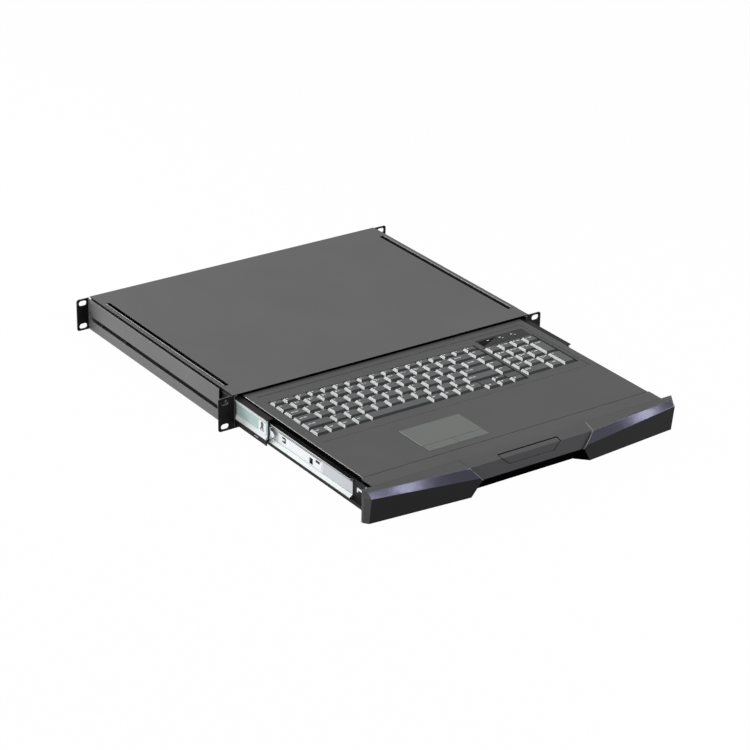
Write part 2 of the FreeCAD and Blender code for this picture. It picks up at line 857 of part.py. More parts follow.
def build_board():
    low = tray_floor + size("board_lift")
    x_half, y_half = size("board_width") / 2, size("board_depth") / 2
    board = block("controller_board", (size("board_centre_x") - x_half, size("board_centre_x") + x_half),
                  (board_centre_y - y_half, board_centre_y + y_half),
                  (low, low + size("board_sheet")))
    node("controller_board", board)


# Key layout: each key is its left, right, back and front lines

MAIN_UNITS = 15.61
FUNCTION_KEYS = 17
numpad_pitch = size("numpad_pitch")
main_left = -tray_out + size("key_margin")
numpad_right = tray_out - size("key_margin")
numpad_left = numpad_right - 4 * numpad_pitch
main_right = numpad_left - size("numpad_gap")
key_pitch = (main_right - main_left) / MAIN_UNITS
typing_right = main_right - key_pitch
first_row_front = deck_rear - size("key_block_inset")


def row_front(row):
    """Front line of a key row: 1 is the number row, 5 the space bar's row."""
    return first_row_front - (row - 1) * size("row_pitch")


def row_back(row):
    return row_front(row) + size("row_pitch")


def run_of_keys(left, pitch, count, row):
    return [(left + i * pitch, left + (i + 1) * pitch, row_back(row), row_front(row)) for i in range(count)]


def one_key(left, right, row, back_row=None):
    return [(left, right, row_back(back_row or row), row_front(row))]


def key_layout():
    tab_right = main_left + size("tab_width")
    caps_right = main_left + size("caps_width")
    left_shift_right = main_left + size("left_shift_width")
    space_left = main_left + 4 * key_pitch
    arrow_left = typing_right - 2 * key_pitch
    space_right = arrow_left - 4 * key_pitch
    function_pitch = (main_right - main_left) / FUNCTION_KEYS
    function_back = row_back(1) + size("function_row_depth")
    arrow_split = row_back(5) - size("arrow_up_depth")
    arrow_front = arrow_split - size("arrow_low_depth")
    function_keys = [
        (main_left + i * function_pitch, main_left + (i + 1) * function_pitch, function_back, row_back(1))
        for i in range(FUNCTION_KEYS)
    ]
    arrows = [(typing_right - key_pitch, typing_right, row_back(5), arrow_split)]
    arrows += [
        (arrow_left + i * key_pitch, arrow_left + (i + 1) * key_pitch, arrow_split, arrow_front)
        for i in range(3)
    ]
    tall_left = numpad_left + 3 * numpad_pitch
    pad_keys = run_of_keys(numpad_left, numpad_pitch, 4, 1)
    for row in (2, 3, 4):
        pad_keys += run_of_keys(numpad_left, numpad_pitch, 3, row)
    pad_keys += one_key(numpad_left + 2 * numpad_pitch, tall_left, 5)
    navigation = []
    for row in (1, 2, 3, 4):
        navigation += one_key(typing_right, main_right, row)
    return {
        "function_keys": function_keys,
        "number_keys": run_of_keys(main_left, key_pitch, 13, 1),
        "backspace_key": one_key(main_left + 13 * key_pitch, typing_right, 1),
        "tab_key": one_key(main_left, tab_right, 2),
        "upper_letter_keys": run_of_keys(tab_right, key_pitch, 12, 2)
        + one_key(tab_right + 12 * key_pitch, typing_right, 2),
        "caps_lock_key": one_key(main_left, caps_right, 3),
        "home_letter_keys": run_of_keys(caps_right, key_pitch, 11, 3),
        "enter_key": one_key(caps_right + 11 * key_pitch, typing_right, 3),
        "left_shift_key": one_key(main_left, left_shift_right, 4),
        "lower_letter_keys": run_of_keys(left_shift_right, key_pitch, 10, 4),
        "right_shift_key": one_key(left_shift_right + 10 * key_pitch, typing_right, 4),
        "modifier_keys": run_of_keys(main_left, key_pitch, 4, 5) + run_of_keys(space_right, key_pitch, 4, 5),
        "space_bar": one_key(space_left, space_right, 5),
        "navigation_keys": navigation,
        "arrow_keys": arrows,
        "numpad_keys": pad_keys,
        "numpad_tall_keys": one_key(tall_left, numpad_right, 3, 2) + one_key(tall_left, numpad_right, 5, 4),
        "numpad_zero_key": one_key(numpad_left, numpad_left + 2 * numpad_pitch, 5),
    }


def stem_box(left, right, back, front, side, low, high):
    corner = Vector((left + right - side) / 2, (front + back - side) / 2, low)
    return Part.makeBox(side, side, high - low, corner)


def key_shape(lines):
    """A tapered cap on a square stem, both from one key's lines."""
    left, right, back, front = (line.number for line in lines)
    half_gap = size("key_gap").number / 2
    base = (left + half_gap, right - half_gap, back - half_gap, front + half_gap)
    slope = size("key_side_slope").number
    top = (base[0] + slope, base[1] - slope, base[2] - size("key_back_slope").number,
           base[3] + size("key_front_slope").number)
    low = size("key_base").number
    high = low + size("cap_height").number
    cap = Part.makeWedge(base[0], low, -base[2], -top[2], top[0], base[1], high, -base[3], -top[3], top[1])
    cap.rotate(Vector(0, 0, 0), Vector(1, 0, 0), 90)
    stem = stem_box(left, right, back, front, size("stem_side").number, size("stem_foot").number, low)
    return cap.fuse(stem).removeSplitter().Solids[0]


def build_keys(layout):
    for label, keys in layout.items():
        feature = doc.addObject("Part::Feature", label)
        shapes = [key_shape(lines) for lines in keys]
        feature.Shape = shapes[0] if len(shapes) == 1 else Part.makeCompound(shapes)
        feature.Placement = FreeCAD.Placement()
        node(label, feature)


# Keyboard windows in the deck, from the keys' own lines

def window_lines(layout):
    gap = size("window_gap")
    right_gap = size("window_right_gap")
    arrows = layout["arrow_keys"]
    return {
        "left": main_left - gap,
        "right": main_right + right_gap,
        "back": layout["function_keys"][0][2] + gap,
        "front": row_front(5) - gap,
        "arrow_left": arrows[1][0] - gap,
        "arrow_front": arrows[1][3] - gap,
        "pad_left": numpad_left - gap,
        "pad_right": numpad_right + right_gap,
        "pad_back": row_back(1) + gap,
        "well_left": main_left - size("well_side_margin"),
        "well_right": numpad_right + size("well_right_margin"),
        "well_back": layout["function_keys"][0][2] + size("well_back_margin"),
        "well_front": arrows[1][3] - size("well_front_margin"),
    }


def draw_windows(sketch, lines):
    polygon(sketch, [
        (lines["left"], lines["back"]), (lines["left"], lines["front"]),
        (lines["arrow_left"], lines["front"]), (lines["arrow_left"], lines["arrow_front"]),
        (lines["right"], lines["arrow_front"]), (lines["right"], lines["back"]),
    ])
    rectangle(sketch, lines["pad_left"], lines["front"], lines["pad_right"], lines["pad_back"])


def frame_box(lines):
    wall = size("frame_wall")
    return lines["left"] - wall, lines["arrow_front"] - wall, lines["pad_right"] + wall, lines["back"] + wall


# Lines of the touchpad and of the indicator panel on the deck

def touchpad_lines(lines):
    front = deck_front + size("pad_front_inset")
    return {
        "front": front,
        "split": front + size("button_length"),
        "back": lines["well_front"] - size("palm_gap"),
    }


def panel_box(lines):
    back = lines["well_back"] - size("panel_back_inset")
    front = lines["pad_back"] + size("panel_wall") + size("panel_play")
    return numpad_left + size("panel_left_inset"), front, numpad_right + size("panel_right_out"), back


# Keyboard deck: a moulded lid with a shallow well, key windows, and pockets for touchpad and indicators

def build_deck(lines):
    body = new_body("keyboard_deck")
    front, rear = deck_front, deck_rear
    side = size("deck_side")
    block_pad = pad(body, "XY", tray_wall_top, deck_top,
                    lambda sketch: rectangle(sketch, -tray_out, front, tray_out, rear))
    top = deck_top.number
    half = tray_out.number

    def is_long_top_edge(edge):
        middle = edge.CenterOfMass
        return abs(middle.z - top) < 0.01 and abs(abs(middle.x) - half) < 0.01

    round_edges(body, block_pad, size("deck_edge_round"), is_long_top_edge)
    cut(body, "XY", tray_wall_top, deck_under,
        lambda sketch: rectangle(sketch, -tray_out + side, front + side, tray_out - side, rear - side))
    pad(body, "XY", key_plate_top, deck_under, lambda sketch: rectangle(sketch, *frame_box(lines)))
    cut(body, "XY", well_floor, deck_top,
        lambda sketch: rectangle(sketch, lines["well_left"], lines["well_front"], lines["well_right"],
                                 lines["well_back"]))
    cut(body, "XY", well_floor - size("well_groove_depth"), well_floor,
        lambda sketch: rectangle(sketch, lines["well_left"], lines["well_front"], lines["well_right"],
                                 lines["well_front"] + size("well_groove_width")))
    cut(body, "XY", key_plate_top, well_floor, lambda sketch: draw_windows(sketch, lines))
    panel_play = size("panel_play")
    panel = panel_box(lines)
    cut(body, "XY", well_floor - size("panel_sheet"), well_floor,
        lambda sketch: rectangle(sketch, panel[0] - panel_play, panel[1] - panel_play,
                                 panel[2] + panel_play, panel[3] + panel_play))
    play = size("button_play")
    touch = touchpad_lines(lines)
    pad_floor = deck_top + size("pad_rise") - size("pad_sheet")
    cut(body, "XY", pad_floor, deck_top,
        lambda sketch: rectangle(sketch, size("pad_left") - play, touch["front"] - play,
                                 size("pad_right") + play, touch["back"] + play))
    cut(body, "XY", deck_under, pad_floor,
        lambda sketch: rectangle(sketch, size("pad_left") - play, touch["front"] - play,
                                 size("pad_right") + play, touch["split"]))


def build_touchpad(lines):
    touch = touchpad_lines(lines)
    pad_top = deck_top + size("pad_rise")
    gap = size("button_play")
    surface = block("touchpad", (size("pad_left"), size("pad_right")), (touch["split"] + gap, touch["back"]),
                    (pad_top - size("pad_sheet"), pad_top))
    node("touchpad", surface)
    middle = (size("pad_left") + size("pad_right")) / 2
    for name, span in (
        ("left", (size("pad_left"), middle - gap)),
        ("right", (middle + gap, size("pad_right"))),
    ):
        label = f"touchpad_button_{name}"
        button = block(label, span, (touch["front"], touch["split"] - gap),
                       (pad_top - size("button_depth"), pad_top))
        node(label, button)


def build_indicators(lines):
    body = new_body("indicator_panel")
    low = well_floor - size("panel_sheet")
    high = well_floor
    panel = panel_box(lines)
    middle_x = (panel[0] + panel[2]) / 2 + size("light_shift_x")
    middle_y = (panel[1] + panel[3]) / 2 + size("light_shift_y")
    half_x, half_y = size("light_length") / 2, size("light_width") / 2
    play = size("panel_play") / 2
    places = [middle_x + step * size("light_step") for step in (-1, 0, 1)]

    def plate(sketch):
        rectangle(sketch, *panel)
        for x in places:
            rectangle(sketch, x - half_x - play, middle_y - half_y - play, x + half_x + play,
                      middle_y + half_y + play)

    pad(body, "XY", low, high, plate)
    lights = [
        block(f"light_{i + 1}", (x - half_x, x + half_x), (middle_y - half_y, middle_y + half_y),
              (low, high + size("light_proud")))
        for i, x in enumerate(places)
    ]
    group("indicator_lights", lights)


# Key plate: a shallow inverted pan with a square guide hole for each stem, fillers either side of the up
# arrow key, and the sheet below it

def build_key_plate(lines, layout):
    box = frame_box(lines)
    sheet_gauge = size("key_plate_sheet")
    under = key_plate_top - sheet_gauge
    body = doc.addObject("PartDesign::Body", "key_plate_blank")
    pad(body, "XY", size("membrane_top"), key_plate_top, lambda sketch: rectangle(sketch, *box))
    cut(body, "XY", size("membrane_top"), under,
        lambda sketch: rectangle(sketch, box[0] + sheet_gauge, box[1] + sheet_gauge, box[2] - sheet_gauge,
                                 box[3] - sheet_gauge))
    up, left_arrow = layout["arrow_keys"][:2]
    gap = size("filler_gap")

    def fillers(sketch):
        for left, right in ((left_arrow[0], up[0]), (up[1], main_right)):
            rectangle(sketch, left + gap, up[3] + gap, right - gap, up[2] - gap)

    pad(body, "XY", key_plate_top, well_floor, fillers)
    side = size("stem_side").number + 2 * size("stem_play").number
    holes = []
    for keys in layout.values():
        for lines_of_key in keys:
            left, right, back, front = (line.number for line in lines_of_key)
            holes.append(stem_box(left, right, back, front, side, under.number, key_plate_top.number))
    punch = doc.addObject("Part::Feature", "stem_holes")
    punch.Shape = Part.makeCompound(holes)
    punch.Placement = FreeCAD.Placement()
    plate = doc.addObject("Part::Cut", "key_plate")
    plate.Base = body
    plate.Tool = punch
    node("key_plate", plate)
    membrane = block("key_membrane", (box[0], box[2]), (box[1], box[3]),
                     (size("membrane_top") - size("membrane_sheet"), size("membrane_top")))
    node("key_membrane", membrane)


# Bezel: depths are measured forward from the plane of the tray's front

def forward(alias):
    return bezel_plane - size(alias)


def cut_recess(body):
    """Finger recess under the lip: its ends splay outward and its roof slants back to the foot."""
    splay = size("recess_half_front") - size("recess_half_back")
    flare = splay / (size("recess_front_depth") - size("undercut_depth"))
    clear = size("lip_depth") + size("lip_rise")

    def section(depth, half):
        reach = half + flare * (clear - depth)
        return [(-half, bezel_plane - depth), (half, bezel_plane - depth),
                (reach, bezel_plane - clear), (-reach, bezel_plane - clear)]

    loft(body, "SubtractiveLoft", [
        ("XY", 0, section(size("undercut_depth"), size("recess_half_back"))),
        ("XY", size("lip_rise"), section(size("lip_depth"), size("seam_low"))),
    ])


def build_bezel_centre():
    body = new_body("bezel_centre")
    half = tray_out + size("ledge_overhang")
    ledge_back = deck_front - size("deck_seam")
    seam_half_gap = size("seam_gap") / 2
    profile = [(bezel_plane, 0), (forward("undercut_depth"), 0), (forward("lip_depth"), size("lip_rise")),
               (forward("edge_depth"), size("edge_rise")), (bezel_plane, deck_top)]
    wide = size("seam_high")
    pad(body, "YZ", -wide, wide, lambda sketch: polygon(sketch, profile))

    def seam_wedges(sketch):
        low_x = size("seam_low") - seam_half_gap
        high_x = size("seam_high") - seam_half_gap
        for sign in (-1, 1):
            polygon(sketch, [(sign * low_x, 0), (sign * bezel_half, 0), (sign * bezel_half, deck_top),
                             (sign * high_x, deck_top), (sign * low_x, size("lip_rise"))])

    far_front = bezel_plane - size("lip_depth") - size("lip_rise")
    cut(body, "XZ", far_front, bezel_plane, seam_wedges)
    pad(body, "XY", deck_under, deck_top,
        lambda sketch: rectangle(sketch, -half, bezel_plane, half, ledge_back))

    gap = size("paddle_gap")
    pocket_low = size("paddle_low") - gap
    pocket_back = forward("paddle_back") + size("paddle_swing_room")
    lean = (size("paddle_half_top") - size("paddle_half_low")) / (size("edge_rise") - size("paddle_low"))
    low_half = size("paddle_half_low") + gap - lean * gap
    top_half = size("paddle_half_top") + gap

    def paddle_pocket(sketch):
        polygon(sketch, [(-low_half, pocket_low), (low_half, pocket_low), (top_half, size("edge_rise")),
                         (top_half, deck_top), (-top_half, deck_top), (-top_half, size("edge_rise"))])

    cut(body, "XZ", far_front, pocket_back, paddle_pocket)
    room = size("arm_width") / 2 + size("arm_room")
    arm_top = size("arm_rise") + size("arm_thick") + size("arm_lift_room")
    arm_front = forward("arm_back") - size("arm_thick") - size("arm_room") / 2
    arm_under = size("arm_rise") - size("arm_room")
    cut(body, "YZ", -room, room,
        lambda sketch: polygon(sketch, [
            (bezel_plane, 0), (bezel_plane, arm_top), (pocket_back, arm_top), (pocket_back, arm_under),
            (arm_front, arm_under), (arm_front, 0),
        ]))
    pin_half = latch_pin_half()
    cut(body, "YZ", -pin_half, pin_half,
        lambda sketch: circle(sketch, forward("latch_axis_back"), size("latch_axis_rise"),
                              size("latch_pin_diameter")))


def latch_pin_half():
    return size("paddle_half_top") + size("latch_pin_overlap")


def build_wing(name, sign):
    """A loft from the tapered outer end to a root inside the seam, then trimmed along the seam."""
    body = new_body(f"bezel_wing_{name}")

    lean = (size("wing_crease_out") - size("wing_foot_out")) / size("wing_crease_rise_out")

    def section(place, share):
        crease, rise = size(f"wing_crease_{place}"), size(f"wing_crease_rise_{place}")
        facet, facet_rise = size(f"wing_facet_{place}"), size(f"wing_facet_rise_{place}")
        return [(bezel_plane, 0), (bezel_plane - (crease - lean * rise) * share, 0),
                (bezel_plane - crease * share, rise), (bezel_plane - facet * share, facet_rise),
                (bezel_plane, deck_top)]

    end = bezel_half
    loft(body, "AdditiveLoft", [
        ("YZ", sign * end, section("out", size("wing_end_share"))),
        ("YZ", sign * (end - size("wing_end_taper")), section("out", 1)),
        ("YZ", sign * size("wing_root"), section("in", 1)),
    ])
    seam_half_gap = size("seam_gap") / 2
    far_front = bezel_plane - size("lip_depth") - size("lip_rise")

    def inner_wedge(sketch):
        low_x = size("seam_low") + seam_half_gap
        high_x = size("seam_high") + seam_half_gap
        polygon(sketch, [(0, 0), (sign * low_x, 0), (sign * low_x, size("lip_rise")),
                         (sign * high_x, deck_top), (0, deck_top)])

    cut(body, "XZ", far_front, bezel_plane, inner_wedge)
    cut_recess(body)


# Latch: a paddle in the bezel's middle on a cross pin, with an arm down to a hook under the tray

def build_paddle():
    body = new_body("latch_paddle")
    half = size("paddle_half_top")
    low_half = size("paddle_half_low")
    low, edge = size("paddle_low"), size("edge_rise")
    slope = (deck_top - edge) / size("edge_depth")
    back = forward("paddle_back")
    back_top = deck_top - slope * size("paddle_back")
    drop = (edge - low) / (edge - size("lip_rise"))
    low_front = forward("edge_depth") - (size("lip_depth") - size("edge_depth")) * drop
    pad(body, "YZ", -half, half,
        lambda sketch: polygon(sketch, [(back, low), (low_front, low), (forward("edge_depth"), edge),
                                        (back, back_top)]))

    def side_wedges(sketch):
        for sign in (-1, 1):
            polygon(sketch, [(sign * low_half, low), (sign * half, low), (sign * half, edge)])

    cut(body, "XZ", low_front, back, side_wedges)
    hole = size("latch_pin_diameter") + 2 * size("latch_pin_play")
    cut(body, "YZ", -half, half,
        lambda sketch: circle(sketch, forward("latch_axis_back"), size("latch_axis_rise"), hole))


def build_latch_arm():
    body = new_body("latch_arm")
    half = size("arm_width") / 2
    thick = size("arm_thick")
    rise = size("arm_rise")
    upright_back = forward("arm_back")
    upright_front = upright_back - thick
    foot = size("arm_foot")
    tip = bezel_plane + size("arm_reach")
    hook = foot - size("arm_hook_drop")
    roof = tray_bottom - size("arm_roof_gap")
    pad(body, "YZ", -half, half,
        lambda sketch: polygon(sketch, [
            (forward("paddle_back"), rise), (upright_front, rise), (upright_front, foot),
            (tip - thick, foot), (tip - thick, hook), (tip, hook), (tip, roof), (upright_back, roof),
            (upright_back, rise + thick), (forward("paddle_back"), rise + thick),
        ]))


def build_latch_pin():
    half = latch_pin_half()
    pin = disc("latch_pin", "x", (-half, forward("latch_axis_back"), size("latch_axis_rise")),
               size("latch_pin_diameter"), half * 2)
    node("latch_pin", pin)


# Zinc-plated angles between the tray's walls and the bezel

def build_angles():
    gauge = size("slide_sheet")
    pieces = []
    z_span = (size("angle_bottom"), size("angle_top"))
    for name, sign in SIDES:
        wide = tray_out + size("angle_width")
        leg = block(f"angle_leg_{name}", (sign * tray_out, sign * (tray_out + gauge)),
                    (bezel_plane, bezel_plane + size("angle_reach")), z_span)
        foot = block(f"angle_foot_{name}", (sign * tray_out, sign * wide),
                     (bezel_plane, bezel_plane + gauge), z_span)
        angle = doc.addObject("Part::Fuse", f"angle_{name}")
        angle.Base = leg
        angle.Tool = foot
        pieces.append(angle)
    group("bezel_brackets", pieces)


# Screw heads of the cover's rear flange and of the front ears' legs

def build_screws():
    head = size("screw_head")
    thick = size("screw_head_thick")
    flange_middle = wall_top - size("cover_flange_drop") / 2
    reach = wall_out - size("screw_inset")
    rear = [disc(f"cover_screw_{i + 1}", "y", (i * reach, rear_face, flange_middle), head, thick)
            for i in (-1, 0, 1)]
    group("cover_screws", rear)
    ear_heads = []
    leg_face = wall_out + ear_sheet
    for name, sign in SIDES:
        for step in (-1, 1):
            start = leg_face if sign > 0 else -leg_face - thick
            place = (start, size("ear_leg_length") / 2, ear_middle + step * size("ear_screw_rise") / 2)
            ear_heads.append(disc(f"ear_screw_{name}_{step + 1}", "x", place, head, thick))
    group("ear_screws", ear_heads)


layout = key_layout()
lines = window_lines(layout)

build_pan()
build_cover()
build_studs()
for name, sign in SIDES:
    build_front_ear(name, sign)
    build_rear_bracket(name, sign)
    build_cabinet_slide(name, sign)
    build_carriage_member(name, sign)
    build_carriage_channel(name, sign)
    build_carriage_end(name, sign)
    build_carriage_track(name, sign)
    build_retainers(name, sign)
    build_drawer_slide(name, sign)
    build_wing(name, sign)
build_tray()
build_board()
build_deck(lines)
build_touchpad(lines)
build_indicators(lines)
build_key_plate(lines, layout)
build_keys(layout)
build_bezel_centre()
build_paddle()
build_latch_arm()
build_latch_pin()
build_angles()
build_screws()
doc.recompute()

for thing in doc.Objects:
    if {"Invalid", "Error"} & set(thing.State):
        raise RuntimeError(f"{thing.Name} failed: {thing.State}")
for thing in nodes:
    if thing.Shape.isNull() or not thing.Shape.isValid() or not thing.Shape.Solids:
        raise RuntimeError(f"{thing.Label} has no valid solid")

os.makedirs("parts", exist_ok=True)
for thing in nodes:
    thing.Shape.exportStep(f"parts/{thing.Label}.step")
    box = thing.Shape.BoundBox
    print(f"{thing.Label}: {len(thing.Shape.Solids)} solids, volume {thing.Shape.Volume:.0f}, "
          f"X {box.XMin:.1f} to {box.XMax:.1f}, Y {box.YMin:.1f} to {box.YMax:.1f}, "
          f"Z {box.ZMin:.1f} to {box.ZMax:.1f}")
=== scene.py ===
import json
import math

import bmesh
import bpy
from mathutils import Matrix, Vector

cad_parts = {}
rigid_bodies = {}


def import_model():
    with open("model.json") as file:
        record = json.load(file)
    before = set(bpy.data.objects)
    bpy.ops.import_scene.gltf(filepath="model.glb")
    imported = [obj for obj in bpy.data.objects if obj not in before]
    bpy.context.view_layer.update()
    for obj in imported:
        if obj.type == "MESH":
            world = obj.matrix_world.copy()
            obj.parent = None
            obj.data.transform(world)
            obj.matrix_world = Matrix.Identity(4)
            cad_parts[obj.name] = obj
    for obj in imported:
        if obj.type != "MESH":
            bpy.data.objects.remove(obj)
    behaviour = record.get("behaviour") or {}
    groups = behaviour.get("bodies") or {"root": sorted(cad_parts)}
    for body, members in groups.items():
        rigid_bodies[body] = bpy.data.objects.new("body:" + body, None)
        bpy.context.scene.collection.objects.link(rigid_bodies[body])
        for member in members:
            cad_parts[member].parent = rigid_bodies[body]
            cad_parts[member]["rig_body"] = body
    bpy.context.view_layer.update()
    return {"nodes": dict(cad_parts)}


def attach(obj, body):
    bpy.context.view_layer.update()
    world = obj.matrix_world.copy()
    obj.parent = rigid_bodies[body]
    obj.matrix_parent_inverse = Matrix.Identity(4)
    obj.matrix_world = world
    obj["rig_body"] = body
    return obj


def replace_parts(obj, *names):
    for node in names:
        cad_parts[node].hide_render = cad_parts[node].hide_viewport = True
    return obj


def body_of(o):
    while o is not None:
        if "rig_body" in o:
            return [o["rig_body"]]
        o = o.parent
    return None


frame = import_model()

# Rackmount keyboard drawer: finishes, softened edges, key marks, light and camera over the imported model

MM = 0.001
NODES = frame["nodes"]
scene = bpy.context.scene
scene.view_settings.view_transform = "Standard"

SIDES = (("left", -1), ("right", 1))


def both(stem):
    return [f"{stem}_{side}" for side, _ in SIDES]


KEY_NODES = [
    "function_keys", "number_keys", "backspace_key", "tab_key", "upper_letter_keys", "caps_lock_key",
    "home_letter_keys", "enter_key", "left_shift_key", "lower_letter_keys", "right_shift_key",
    "modifier_keys", "space_bar", "navigation_keys", "arrow_keys", "numpad_keys", "numpad_tall_keys",
    "numpad_zero_key",
]


# Materials

# Most of a noise texture's values lie between these
NOISE_LOW = 0.3
NOISE_HIGH = 0.7
CLOUD_DETAIL = 3
GRAIN_DETAIL = 2
GRAIN_DEPTH = 0.2 * MM
GLOSS_LEAST = 0.9
GLOSS_MOST = 1.1
# Sockets of the colour mix node
MIX_SHARE = 0
MIX_FIRST = 6
MIX_SECOND = 7
MIX_RESULT = 2


def node_tree(name):
    mat = bpy.data.materials.new(name)
    mat.use_nodes = True
    tree = mat.node_tree
    return mat, tree, tree.nodes["Principled BSDF"]


def noise(tree, coordinates, scale, detail):
    texture = tree.nodes.new("ShaderNodeTexNoise")
    texture.inputs["Scale"].default_value = scale
    texture.inputs["Detail"].default_value = detail
    tree.links.new(coordinates, texture.inputs["Vector"])
    return texture.outputs["Fac"]


def spread(tree, value, low, high):
    """Map a noise value onto a range."""
    ramp = tree.nodes.new("ShaderNodeMapRange")
    ramp.inputs["From Min"].default_value = NOISE_LOW
    ramp.inputs["From Max"].default_value = NOISE_HIGH
    ramp.inputs["To Min"].default_value = low
    ramp.inputs["To Max"].default_value = high
    tree.links.new(value, ramp.inputs["Value"])
    return ramp.outputs["Result"]


def tint(tree, value, dark, light):
    """Mix two colours by a value from 0 to 1."""
    mix = tree.nodes.new("ShaderNodeMix")
    mix.data_type = "RGBA"
    mix.inputs[MIX_FIRST].default_value = (*dark, 1)
    mix.inputs[MIX_SECOND].default_value = (*light, 1)
    tree.links.new(value, mix.inputs[MIX_SHARE])
    return mix.outputs[MIX_RESULT]


def coordinates_of(tree, stretch):
    source = tree.nodes.new("ShaderNodeTexCoord").outputs["Object"]
    mapping = tree.nodes.new("ShaderNodeMapping")
    mapping.inputs["Scale"].default_value = stretch
    tree.links.new(source, mapping.inputs["Vector"])
    return mapping.outputs["Vector"]


def finish_of(name, colour, roughness, metal=0.0, specular=0.5, vary=0.05, cloud=14, grain=1600,
              grain_height=0.06, stretch=(1, 1, 1), sheen=(1, 1, 1)):
    """A surface with slow colour drift, uneven gloss and a fine grain."""
    mat, tree, shader = node_tree(name)
    coordinates = coordinates_of(tree, stretch)
    drift = noise(tree, coordinates, cloud, CLOUD_DETAIL)
    fine = noise(tree, coordinates, grain, GRAIN_DETAIL)
    dark = tuple(c * (1 - vary) for c in colour)
    light = tuple(min(1, c * (1 + vary)) for c in colour)
    tree.links.new(tint(tree, spread(tree, drift, 0, 1), dark, light), shader.inputs["Base Color"])
    gloss = spread(tree, fine, roughness * GLOSS_LEAST, min(1, roughness * GLOSS_MOST))
    tree.links.new(gloss, shader.inputs["Roughness"])
    bump = tree.nodes.new("ShaderNodeBump")
    bump.inputs["Strength"].default_value = grain_height
    bump.inputs["Distance"].default_value = GRAIN_DEPTH
    tree.links.new(fine, bump.inputs["Height"])
    tree.links.new(bump.outputs["Normal"], shader.inputs["Normal"])
    shader.inputs["Metallic"].default_value = metal
    shader.inputs["Specular IOR Level"].default_value = specular
    shader.inputs["Specular Tint"].default_value = (*sheen, 1)
    return mat


ROLLED = {"grain": 500, "stretch": (1, 0.06, 1), "grain_height": 0.01, "vary": 0.03}

# Colour, roughness and what else sets each finish apart
LOOKS = {
    # cover paint, also a painted highlight on the front ears' top faces
    "cover_paint": ((0.057, 0.057, 0.059), 0.50, {"specular": 0.40}),
    "bracket_paint": ((0.100, 0.099, 0.101), 0.46, {"vary": 0.08}),
    # black paint of the ears, also painted shade on the rear brackets' forward and backward faces
    "ear_paint": ((0.004, 0.0035, 0.004), 0.5, {"specular": 0.10}),
    # black paint, also painted shade on the drawer slides' top faces
    "channel_paint": ((0.006, 0.006, 0.006), 0.5, {"specular": 0.15}),
    # painted shade: near-black side walls of the pan, seen through the brackets' groove and gap
    "wall_paint": ((0.012, 0.012, 0.0125), 0.5, {"specular": 0.20}),
    # painted shade: near-black for undersides, recess walls, the deck under the cover and the cover's edges
    "hollow_black": ((0.002, 0.002, 0.002), 0.7, {"specular": 0.0}),
    # pale bare metal with a painted highlight on the ribs' upper edges
    "rib_edge": ((0.24, 0.24, 0.25), 0.4, {"metal": 0.3}),
    "mint_zinc": ((0.38, 0.49, 0.47), 0.65, {"metal": 0.05, **ROLLED}),
    "race_zinc": ((0.66, 0.69, 0.69), 0.60, {"specular": 0.15, **ROLLED}),
    "bright_zinc": ((0.84, 0.86, 0.88), 0.40, {"metal": 0.9, **ROLLED}),
    # painted shade: a darker copy of the bright zinc for the drawer slides' web
    "grey_zinc": ((0.58, 0.60, 0.63), 0.42, {"metal": 0.9, **ROLLED}),
    "deck_plastic": ((0.053, 0.053, 0.053), 0.55, {"specular": 0.24, "grain": 2200, "grain_height": 0.16}),
    # painted highlight: paler, glossier plastic on the deck's long edges
    "edge_gloss": ((0.080, 0.080, 0.082), 0.32, {"specular": 0.60, "grain": 2200}),
    "key_plastic": ((0.048, 0.050, 0.051), 0.38, {"specular": 0.38, "vary": 0.07, "grain": 2200}),
    # painted shade on the keys' front faces
    "key_front": ((0.026, 0.027, 0.028), 0.55, {"specular": 0.05, "grain": 2200}),
    # painted highlight on the keys' side faces
    "key_flank": ((0.100, 0.103, 0.104), 0.34, {"specular": 0.60, "grain": 2200}),
    "touch_plastic": ((0.092, 0.098, 0.093), 0.50, {"specular": 0.30, "vary": 0.03}),
    "front_plastic": ((0.038, 0.038, 0.040), 0.5, {"specular": 0.15, "grain": 2000}),
    "bezel_plastic": ((0.012, 0.012, 0.013), 0.45, {"specular": 0.06, "grain": 2000}),
    "facet_gloss": ((0.007, 0.007, 0.009), 0.32, {"specular": 0.70, "grain_height": 0.004,
                                                  "sheen": (0.70, 0.69, 1.0)}),
    "panel_gloss": ((0.012, 0.012, 0.012), 0.20, {"specular": 0.10, "grain": 700, "grain_height": 0.01}),
    # painted highlight on the wing seam's rim and the touchpad's left edge
    "rim_grey": ((0.30, 0.30, 0.30), 0.4, {}),
    # painted shadow lines on the drawer slides' web
    "race_line": ((0.16, 0.16, 0.17), 0.5, {"metal": 0.4, **ROLLED}),
    # black for the joint before the bezel, painted shade in the screw sockets and a painted reflection on
    # the indicator strip
    "inlay_black": ((0.001, 0.001, 0.001), 0.25, {"specular": 0.02, "grain": 700}),
    "light_plastic": ((0.55, 0.57, 0.55), 0.3, {}),
    "board_laminate": ((0.012, 0.085, 0.040), 0.4, {"vary": 0.3, "cloud": 180}),
    "retainer_plastic": ((0.70, 0.71, 0.72), 0.35, {"metal": 1.0}),
    "membrane_sheet": ((0.25, 0.26, 0.27), 0.5, {"metal": 0.6}),
    # painted shade in the carriage ends' dimple and slot
    "shade_steel": ((0.10, 0.10, 0.105), 0.5, {"metal": 0.5}),
    "screw_steel": ((0.05, 0.05, 0.052), 0.35, {"metal": 0.8}),
    "legend_ink": ((0.62, 0.65, 0.64), 0.55, {"grain": 3000}),
}
FINISHES = {}
for name, (colour, roughness, more) in LOOKS.items():
    FINISHES[name] = finish_of(name, colour, roughness, **more)

